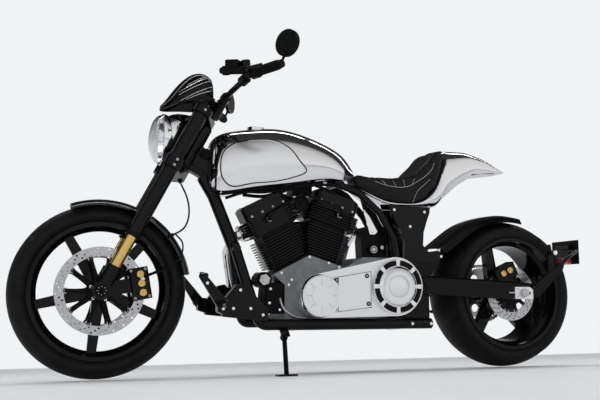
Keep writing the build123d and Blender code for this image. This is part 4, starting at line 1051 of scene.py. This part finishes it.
# %% Between the heads
shape = bmesh.new()
fins = [(918 + 13 * k, 742, (0.006, 0.076, 0.05, 1)) for k in range(7)]
block = (957, 740, (0.082, 0.062, 0.036, 1))
for x, z, size in fins + [block]:
    place = Matrix.Translation(leaned(x, 22, z)) @ Matrix.Rotation(-lean, 4, "X")
    bmesh.ops.create_cube(shape, size=1.0, matrix=place @ Matrix.Diagonal(size))
piece("coil", shape, "chassis", "black_satin")
throttle_face = [(0, 0), (0, 33), (4, 33), (6, 30), (6, 24), (3, 22), (3, 9), (9, 7), (9, 0)]
spun("throttle_cap", "chassis", "black_satin", [((959.5, 58, 682), leftward, throttle_face)])
rail_lines = [
    ([(1118, 30, 742), (1060, 40, 762), (990, 44, 768), (930, 44, 770), (860, 40, 772), (800, 34, 776)], 6.0),
    ([(1130, 52, 730), (1070, 62, 752), (1000, 66, 760), (930, 64, 762), (860, 58, 768), (806, 46, 772)],
     4.0),
    ([(1008, 58, 676), (1040, 70, 700), (1052, 66, 735), (1040, 56, 764)], 5.0),
    ([(918, 58, 690), (892, 72, 712), (880, 66, 742), (872, 56, 766)], 5.0),
]
bent("fuel_lines", "chassis", "rubber", rail_lines)
union_at = ((1060, 40, 762), (930, 44, 770), (860, 58, 768))
unions = [(place, (1, 0.05, 0), ring(3.0, 8.5, -8, 8)) for place in union_at]
spun("fuel_unions", "chassis", "steel", unions, 6)

# %% [markdown]
# Screws hold the crankcase halves, the filter's housing and the foot controls' brackets. Two oil pipes run
# from the crankcase's front to the gearbox behind it.

# %% Crankcase trim
case_at = ((1058, 398), (1016, 372), (1028, 352), (1030, 243), (991, 224), (942, 462), (860, 440), (816, 424))
case_rows = [(x, 106.2, z) for x, z in case_at]
case_rows += [(x, 100.2, z) for x, z in ((1104, 282), (1062, 256), (1100, 336))]
screws("case_screws", facing_out(case_rows), "chassis", "chrome", 5.0, 4.0)
control_at = [(x, 164, z) for x, z in ((1148, 238), (1236, 330), (1262, 262), (1196, 262))]
control_at += [(x, 212, z) for x, z in ((1390, 384), (1372, 354), (1312, 262))]
screws("control_screws", on_both(control_at), "chassis", "chrome", 5.5, 4.0)
oil_pipes = [
    ([(1044, 60, 330), (1060, 96, 300), (1050, 112, 262), (1010, 116, 232), (960, 112, 224)], 5.0),
    ([(1098, -40, 398), (1108, -96, 396), (1086, -118, 372), (1060, -100, 350)], 6.0),
]
bent("oil_pipes", "chassis", "steel", oil_pipes)
filter_nut = [(0, 0), (0, 23), (2, 22), (2, 11), (6, 11), (6, 0)]
spun("filter_face", "chassis", "steel", [((1127, 112, 371), leftward, filter_nut)], 6)

# %% [markdown]
# The primary cover is turned and milled from solid: shallow rings and radial lines are cut in its front
# round, and its big rear round has a stepped boss.

# %% Primary cover rings
def facing_round(centre, y, *profiles):
    """Turned parts about an (x, z) centre on the left side, from a given depth outwards."""
    return [((centre[0], y, centre[1]), leftward, profile) for profile in profiles]


boss = [(0, 0), (0, 41), (3, 41), (5, 38), (5, 0)]
ring_rows = facing_round(front_round, 205.1, ring(56, 59, -1, 1.2), ring(79.5, 82.5, -12.2, -10.4))
ring_rows += facing_round(rear_round, 211.2, ring(58, 61, -1, 2.0), boss)
spun("primary_rings", "chassis", "machined", ring_rows, 64)
spokes = [([leaned(*end) for end in ends], 0.0011)
          for ends in zip(on_circle(front_round, 42, 205.2, 8), on_circle(front_round, 65, 205.2, 8))]
bars("primary_lines", "chassis", "steel", spokes, 6)

# %% [markdown]
# ## Exhaust and air cleaner
# On the right-hand side a polished collar joins each pipe to its head, clamps hold the pipes to the silencer,
# and the silencer's two ends are capped. The air cleaner has a dished, polished cover.

# %% Right-hand side
backward = (-1, 0, 0)
collars = [(on_cylinder(front, flip * 112, -46, 340), cylinder_way(front, flip, 0, 0), ring(22.2, 33, 0.3, 9))
           for front, flip in heads]
collars += [((x, -212, 212), backward, ring(*section))
            for x, section in ((446, (50.2, 53, 0, 34)), (928, (50.2, 53, 0, 26)), (400, (30, 51.5, 0, 4)))]
spun("exhaust_collars", "chassis", "chrome", collars, 48)
dish = [(0, 0), (0, 67), (10, 66), (15, 58), (15, 50), (11, 44), (11, 18), (15, 14), (15, 0)]
spun("cleaner_cover", "chassis", "polished", [((959.5, -205, 682), rightward, dish)], 64)
cleaner_at = on_circle((959.5, 682), 31, -216, 3)
screws("cleaner_screws", facing_out(cleaner_at, rightward), "chassis", "steel", 4.0, 3.0)

# %% [markdown]
# ## The tail's lights
# Each tail lamp has a bright ring, and a small round reflector sits on the plate's arm on each side.

# %% Lamp rings
lamp_rows = both([((-372, 28, 474.7), backward, ring(14.8, 17.2, -2, 3))])
lamp_rows.append(((-156, 200, 500), leftward, [(0, 0), (0, 11), (5, 11), (8, 8), (8, 0)]))
spun("lamp_rings", "chassis", "chrome", lamp_rows)

# %% [markdown]
# ## The horn and the head's fittings
# A small round horn hangs beside the steering head, in front of the tank, with a relay below it. A ribbed
# voltage regulator and the charging unit's cap show under the seat.

# %% Horn, relay, unit caps
horn = [(0, 0), (0, 16), (4, 20), (7, 20), (8, 17), (8, 12), (11, 10), (11, 0)]
horn_stem = [(0, 0), (0, 8), (14, 8), (14, 0)]
horn_rows = [((1352, 22, 862), leftward, horn_stem), ((1352, 36, 862), leftward, horn)]
spun("horn", "chassis", "black_satin", horn_rows)
stud = [(0, 0), (0, 8), (2, 8), (2, 0)]
unit_rows = [((640, 58, 502), ring(12, 15, -1, 2.5)), ((640, 58, 502), stud), ((598, 50, 512), stud)]
spun("unit_caps", "chassis", "steel", [(place, leftward, profile) for place, profile in unit_rows])
screws("gusset_screw", [((640, 48, 578), leftward)], "chassis", "chrome", 6.0, 3.0)

# %% [markdown]
# ## Switches and master cylinders
# Inside each grip a pod holds the switches. Before it a small pump, worked by the lever, lies along the bar
# with its square reservoir on top.

# %% Switch pods and pumps
pod_profile = [(0, 0), (0, 19), (4, 23), (34, 23), (38, 19), (38, 0)]
spun("switch_pods", "steering", "black_satin", both([(bar_bend - grip_way * 8, -grip_way, pod_profile)]), 28)
pump_at, pump_end = Vector((1262, 322, 1126)), Vector((1348, 236, 1140))
pump_way = (pump_end - pump_at).normalized()
pump_profile = [(0, 0), (0, 11), (10, 11), (12, 15), (78, 15), (82, 18), (104, 18), (110, 12), (116, 12),
                (116, 0)]
spun("brake_pumps", "steering", "black_satin", both([(pump_at, pump_way, pump_profile)]), 28)
beside = Vector((-pump_way.y, pump_way.x, 0)).normalized()
shape = bmesh.new()
box = ((-1, -1), (1, -1), (1, 1), (-1, 1))
for s in (1, -1):
    sections = []
    for rise, long, wide in ((10, 24, 13), (16, 27, 16), (34, 27, 16), (38, 25, 14)):
        middle = pump_at + pump_way * 62 + Vector((0, 0, rise))
        corners = [middle + pump_way * long * a + beside * wide * b for a, b in box]
        sections.append([(c.x, s * c.y, c.z) for c in corners])
    skinned(shape, sections)
piece("reservoirs", shape, "steering", "black_satin")

# %% [markdown]
# ## Stitching on the seat
# A seam runs along each side of the seat and up the back pad, with short seams fanning up from it, and one
# more marks where the pad begins. Each one is drawn from the side and cast onto the cover.

# %% Seams
seams = [
    [(636, 789), (610, 778), (577, 769), (537, 763), (503, 768), (469, 786), (427, 812), (392, 846),
     (376, 875)],
    [(483, 702), (474, 730), (462, 752), (433, 777), (404, 801)],
    [(588, 772), (597, 783), (608, 792)],
    [(551, 766), (557, 781), (563, 793)],
    [(518, 767), (519, 784), (520, 796)],
    [(486, 776), (480, 789), (471, 801)],
]
seam_lines = [cast_line("seat_cover", seam, s, 4, 0.0002) for s in (1, -1) for seam in seams]
bars("seat_stitches", "chassis", "steel", [(line, 0.0011) for line in seam_lines if len(line) > 2], 6)

# %% [markdown]
# ## Wiring under the tank
# Between the tank and the cylinder heads run the wiring loom and the vent pipes, tied to the backbone.

# %% Loom
loom = [([(1290, 62, 706), (1230, 66, 716), (1150, 60, 728), (1060, 64, 738), (960, 60, 752), (860, 56, 766),
          (770, 46, 762)], 9.0),
        ([(1270, 40, 690), (1200, 78, 712), (1130, 70, 716), (1050, 78, 728), (980, 70, 740)], 6.0),
        ([(1180, -30, 716), (1120, 20, 706), (1080, 58, 712), (1030, 70, 728)], 7.0),
        ([(900, 60, 756), (860, 74, 742), (820, 70, 726), (800, 40, 712)], 6.0)]
bent("loom", "chassis", "rubber", loom, 10)

# %% [markdown]
# ## Painted shade between the fins
# Behind the fins each barrel is a solid block of iron. Dark blocks set between the fins close the view
# through them and paint the shade deep between the fins, wider above, where the cylinders have more room,
# than at the foot of the V. Dark slabs laid across the V paint the shade between the two cylinders.

# %% Barrel blocks
for (front, flip), name in zip(heads, ("front_barrel_shade_block", "rear_barrel_shade_block")):
    shape = bmesh.new()
    sections = []
    for up, valley in ((152, 50), (230, 76), (302, 78)):
        half = [(72, 58), (56, 68), (-valley + 12, 68), (-valley, 58)]
        outline = half + [(across, -y) for across, y in reversed(half)]
        sections.append([on_cylinder(front, flip * across, y, up) for across, y in outline])
    skinned(shape, sections)
    # dark barrel blocks: painted shade between the fins
    piece(name, shape, "chassis", "rubber")
# dark slabs across the V: painted shade between the two cylinders
shape = bmesh.new()
for k in range(15):
    up = 172 + 9 * k
    wide, thick = (40, 9) if k % 2 else (58, 3)
    corners = ((True, -56, -wide), (False, 56, -wide), (False, 56, wide), (True, -56, wide))
    skinned(shape, [[on_cylinder(*corner, level) for corner in corners] for level in (up, up + thick)])
piece("valley_shade_slabs", shape, "chassis", "rubber")

# %% [markdown]
# ## The chain's pins
# Every link of the chain turns on a pin, and its riveted ends show on both faces of the chain.

# %% Chain pins
near, far = Vector((0, 0, 325)), Vector((566, 0, 352))
big, small, pitch = 126.5, 61.5, 15.9
wrap = asin((big - small) / (far - near).length)
tilt = atan2(far.z - near.z, far.x - near.x)


def round_from(centre, size, turn):
    """A place on a sprocket's circle."""
    return centre + Vector((cos(turn), 0, sin(turn))) * size


pin_path = []
for s in (1, -1):
    normal = tilt + s * (pi / 2 - wrap)
    start, end = round_from(near, big, normal), round_from(far, small, normal)
    count = int((end - start).length / pitch)
    pin_path += [start.lerp(end, k / count) for k in range(count + 1)]
for centre, size, low, high in ((near, big, tilt + pi / 2 - wrap, tilt + 1.5 * pi + wrap),
                                (far, small, tilt - pi / 2 + wrap, tilt + pi / 2 - wrap)):
    count = int(size * (high - low) / pitch)
    pin_path += [round_from(centre, size, low + (high - low) * k / count) for k in range(1, count)]
pin_rows = [((place.x, -133 + s * 7.4, place.z), (0, s, 0)) for place in pin_path for s in (1, -1)]
screws("chain_pins", pin_rows, "chassis", "steel", 3.4, 1.4)

# %% [markdown]
# ## Black carriers on the discs
# The middle of each floating disc is a black carrier with an arm to every button; only the drilled ring
# outside it is bare steel.

# %% Carriers
def carrier(name, body, axle, y, outer, reach, count=10):
    """A flat ring with arms, a hair thicker than the disc it covers."""
    shape = bmesh.new()
    ring_profile = [(d / 1000, r / 1000) for d, r in ring(22, outer, -3.1, 3.1)]
    lathe(shape, ring_profile, leaned(axle[0], y, axle[1]), left_side, 60)
    for a in (tau * k / count for k in range(count)):
        sections = []
        for size, wide in ((outer - 3, 9.0), ((outer + reach) / 2, 6.6), (reach, 7.4)):
            corners = [(-wide, -3.1), (wide, -3.1), (wide, 3.1), (-wide, 3.1)]
            sections.append([(axle[0] + size * cos(a) - across * sin(a), y + depth,
                              axle[1] + size * sin(a) + across * cos(a)) for across, depth in corners])
        skinned(shape, sections)
    piece(name, shape, body, "black_satin")


carrier("front_carrier_left", "front_wheel", front_axle, 68, 46, 128)
carrier("front_carrier_right", "front_wheel", front_axle, -68, 46, 128)
carrier("rear_carrier", "rear_wheel", rear_axle, 92, 54, 84)

# %% [markdown]
# ## Slots and cones of the primary cover
# The cover's rear round has slots; dark pieces set in them paint the shade inside the slots. Polished
# cones step up towards its middle. A polished cone also rings the front round.

# %% Slots and cones
shape = bmesh.new()
for k in range(8):
    sections = []
    for step in range(9):
        a = radians(k * 45 + 5 + 35 * step / 8)
        corners = [(81.5, 199.2), (103.5, 199.2), (103.5, 211.5), (81.5, 211.5)]
        sections.append([(rear_round[0] + size * cos(a), y, rear_round[1] + size * sin(a))
                         for size, y in corners])
    skinned(shape, sections)
# dark pieces in the slots: painted shade
piece("cover_slot_shade", shape, "chassis", "rubber")
low_cone = [(205, 108.2), (211.3, 108.2), (212.8, 107), (212.8, 105), (205, 105), (205, 108.2)]
high_cone = [(205, 79.5), (211.8, 79.5), (219.6, 70), (219.6, 60), (205, 60), (205, 79.5)]
front_cone = [(190, 83.8), (193.5, 83.8), (205.8, 78.2), (205.8, 74.5), (190, 74.5), (190, 83.8)]
cones = facing_round(rear_round, 0, low_cone, high_cone) + facing_round(front_round, 0, front_cone)
spun("cover_cones", "chassis", "chrome", cones, 72)
plate_corners = ((859, 250), (859, 382), (721, 405), (721, 266))
plate_edge = [leaned(x, 203.0, z) for x, z in plate_corners]
bars("inspection_edge", "chassis", "black_satin", [(plate_edge, 0.0016)], closed=True)
washers = [((x, 203.0, z), leftward, ring(4, 9, -0.5, 1.0)) for x, z in inspection_at]
spun("cover_washers", "chassis", "black_satin", washers, 24)

# %% [markdown]
# ## The tail's polished skin
# The tail is beaten from one sheet: its flanks are full, its top rolls in to a crease, and it tapers to a
# point behind. Sections are set along it and joined. The CAD part gives their height and width.

# %% Skin of the tail
tail_top = [(725, 766), (660, 734), (600, 707), (540, 696), (477, 696), (426, 719), (367, 777), (338, 847),
            (326, 898), (316, 944), (298, 948), (180, 952), (87, 930), (0, 889), (-26, 872)]
tail_low = [(725, 765), (655, 723), (590, 691), (581, 686.5), (387, 686.5), (366, 680), (300, 735),
            (238, 787), (155, 835), (80, 847), (17, 856), (-26, 868)]
tail_half = [(727, 45), (690, 63), (600, 87), (500, 117), (420, 123), (350, 113), (300, 103), (180, 77),
             (60, 55), (-27, 30)]
front_tip, rear_tip = 725, -26


def eased(rows, x):
    """The value at a station, averaged with those just before and behind it."""
    return sum(at(rows, max(rear_tip, min(front_tip, x + 9 * k))) for k in range(-2, 3)) / 5


def rounded(share, power):
    """A sine or cosine made fuller, so that a circle turns into a rounded box."""
    return abs(share) ** power * (1 if share >= 0 else -1)


shape = bmesh.new()
sections = []
for x in list(range(front_tip, rear_tip, -12)) + [-25]:
    top, low, half = (eased(rows, x) for rows in (tail_top, tail_low, tail_half))
    tall = max(2.0, top - low)
    section = []
    for a in (tau * k / 40 for k in range(40)):
        crease = 1.0 - 0.34 * (sin(a) - 0.3) / 0.7 if x < 330 and sin(a) > 0.3 else 1.0
        z = low + tall * (0.5 + 0.5 * rounded(sin(a), 0.62))
        section.append((x, half * rounded(cos(a), 0.55) * crease, z))
    sections.append(section)
skinned(shape, sections)
plate = [(706, 757), (610, 704), (577, 616), (630, 566), (652, 566)]
skinned(shape, [[(x, y, z) for x, z in plate] for y in (42.2, 47.8)])
tail_skin = piece("tail_skin", shape, "chassis", "polished")
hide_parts("tail")
print("tail skin", len(tail_skin.data.polygons), "faces")

# %% [markdown]
# ## The studio
# A pale paper floor runs back out of sight, under three broad soft lamps that model the shapes. The lamps
# don't show in polished parts, because the room described below is what those mirror.

# %% Floor
floor_mesh = bpy.data.meshes.new("floor")
reach = 14.0
floor_corners = [(-reach, -reach, 0), (reach, -reach, 0), (reach, reach, 0), (-reach, reach, 0)]
floor_mesh.from_pydata(floor_corners, [], [(0, 1, 2, 3)])
floor = placed("floor", floor_mesh)
floor_mesh.materials.append(finish("paper", (0.88, 0.88, 0.88), 0.0, 0.55, 0.7, patch=2.0))

# %% Light
def soft_lamp(name, place, aim, width, height, power):
    """An area lamp of that size at a place, turned to its aim."""
    data = bpy.data.lights.new(name, "AREA")
    data.shape = "RECTANGLE"
    data.size, data.size_y, data.energy = width, height, power
    lamp = placed(name, data)
    lamp.location = place
    lamp.rotation_euler = (Vector(aim) - Vector(place)).to_track_quat("-Z", "Y").to_euler()
    lamp.visible_glossy = False


soft_lamp("key", (1.6, 4.0, 3.0), (0.0, 0.0, 0.5), 4.5, 2.6, 42.0)
soft_lamp("fill", (-3.8, 2.6, 1.6), (0.0, 0.0, 0.5), 2.6, 2.6, 10.0)
soft_lamp("top", (0.0, -0.6, 3.4), (0.0, 0.0, 0.4), 5.0, 1.2, 32.0)

# %% [markdown]
# The world is a pale grey to the camera. Polished parts mirror a room that changes only round the machine's
# length, as a tunnel of paper does: a bright wall on the near side, a dark ceiling with one long light in it,
# and a bright wall again on the far side. It gives black paint its depth and metal its streaks.

# %% World
world = bpy.data.worlds.new("sweep")
bpy.context.scene.world = world
world.use_nodes = True
sky = world.node_tree
sky.nodes.clear()


def add(kind, values={}, operation=None):
    """A node of the world, with its sockets set."""
    node = set_up(sky.nodes.new("ShaderNode" + kind), values)
    if operation:
        node.operation = operation
    return node


path, way, axes, room = add("LightPath"), add("TexCoord"), add("SeparateXYZ"), add("ValToRGB")
room_bands = [(0.0, 0.7), (0.25, 0.5), (0.5, 0.86), (0.64, 0.64), (0.685, 0.42), (0.71, 0.04), (0.819, 0.03),
              (0.822, 8.0), (0.828, 8.0), (0.831, 0.04), (0.93, 0.05), (0.97, 0.8), (1.0, 0.7)]
while len(room.color_ramp.elements) < len(room_bands):
    room.color_ramp.elements.new(0.5)
for element, (place, level) in zip(room.color_ramp.elements, room_bands):
    element.position = place
    element.color = (level, level, level, 1)
angle = add("Math", operation="ARCTAN2")
span = add("MapRange", {"From Min": -pi, "From Max": pi})
mirrored = add("Background")
seen = add("Background", {"Color": (0.88, 0.89, 0.90, 1)})
lit = add("Background", {"Color": (0.95, 0.97, 1.0, 1), "Strength": 0.62})
mirrors = add("Math", operation="MAXIMUM")
first, second, out = add("MixShader"), add("MixShader"), add("OutputWorld")
wire(sky, ((way, "Generated", axes, 0), (axes, "Z", angle, 0), (axes, "Y", angle, 1),
           (angle, 0, span, "Value"), (span, "Result", room, "Fac"), (room, "Color", mirrored, "Color"),
           (path, "Is Glossy Ray", mirrors, 0), (path, "Is Transmission Ray", mirrors, 1),
           (mirrors, 0, first, 0), (lit, 0, first, 1), (mirrored, 0, first, 2),
           (path, "Is Camera Ray", second, 0), (first, 0, second, 1), (seen, 0, second, 2),
           (second, 0, out, 0)))
bpy.context.scene.view_settings.view_transform = "Standard"

# %% [markdown]
# ## The camera
# It stands low beside the front wheel and looks up at the machine and back along it.

# %% Camera
camera_data = bpy.data.cameras.new("camera")
camera_data.lens = 43.4
camera_data.sensor_width = 36.0
camera = placed("camera", camera_data)
heading, pitch, roll = radians(-19.61), radians(12.37), radians(-1.48)
forward = Vector((sin(heading) * cos(pitch), -cos(heading) * cos(pitch), sin(pitch)))
side = forward.cross(Vector((0, 0, 1))).normalized()
upward = side.cross(forward)
right = side * cos(roll) + upward * sin(roll)
top = upward * cos(roll) - side * sin(roll)
camera.matrix_world = Matrix((
    (right.x, top.x, -forward.x, 1.0858), (right.y, top.y, -forward.y, 2.7077),
    (right.z, top.z, -forward.z, 0.060), (0, 0, 0, 1)))
bpy.context.scene.camera = camera

# %% [markdown]
# ## Finish

# %% Finish
import json
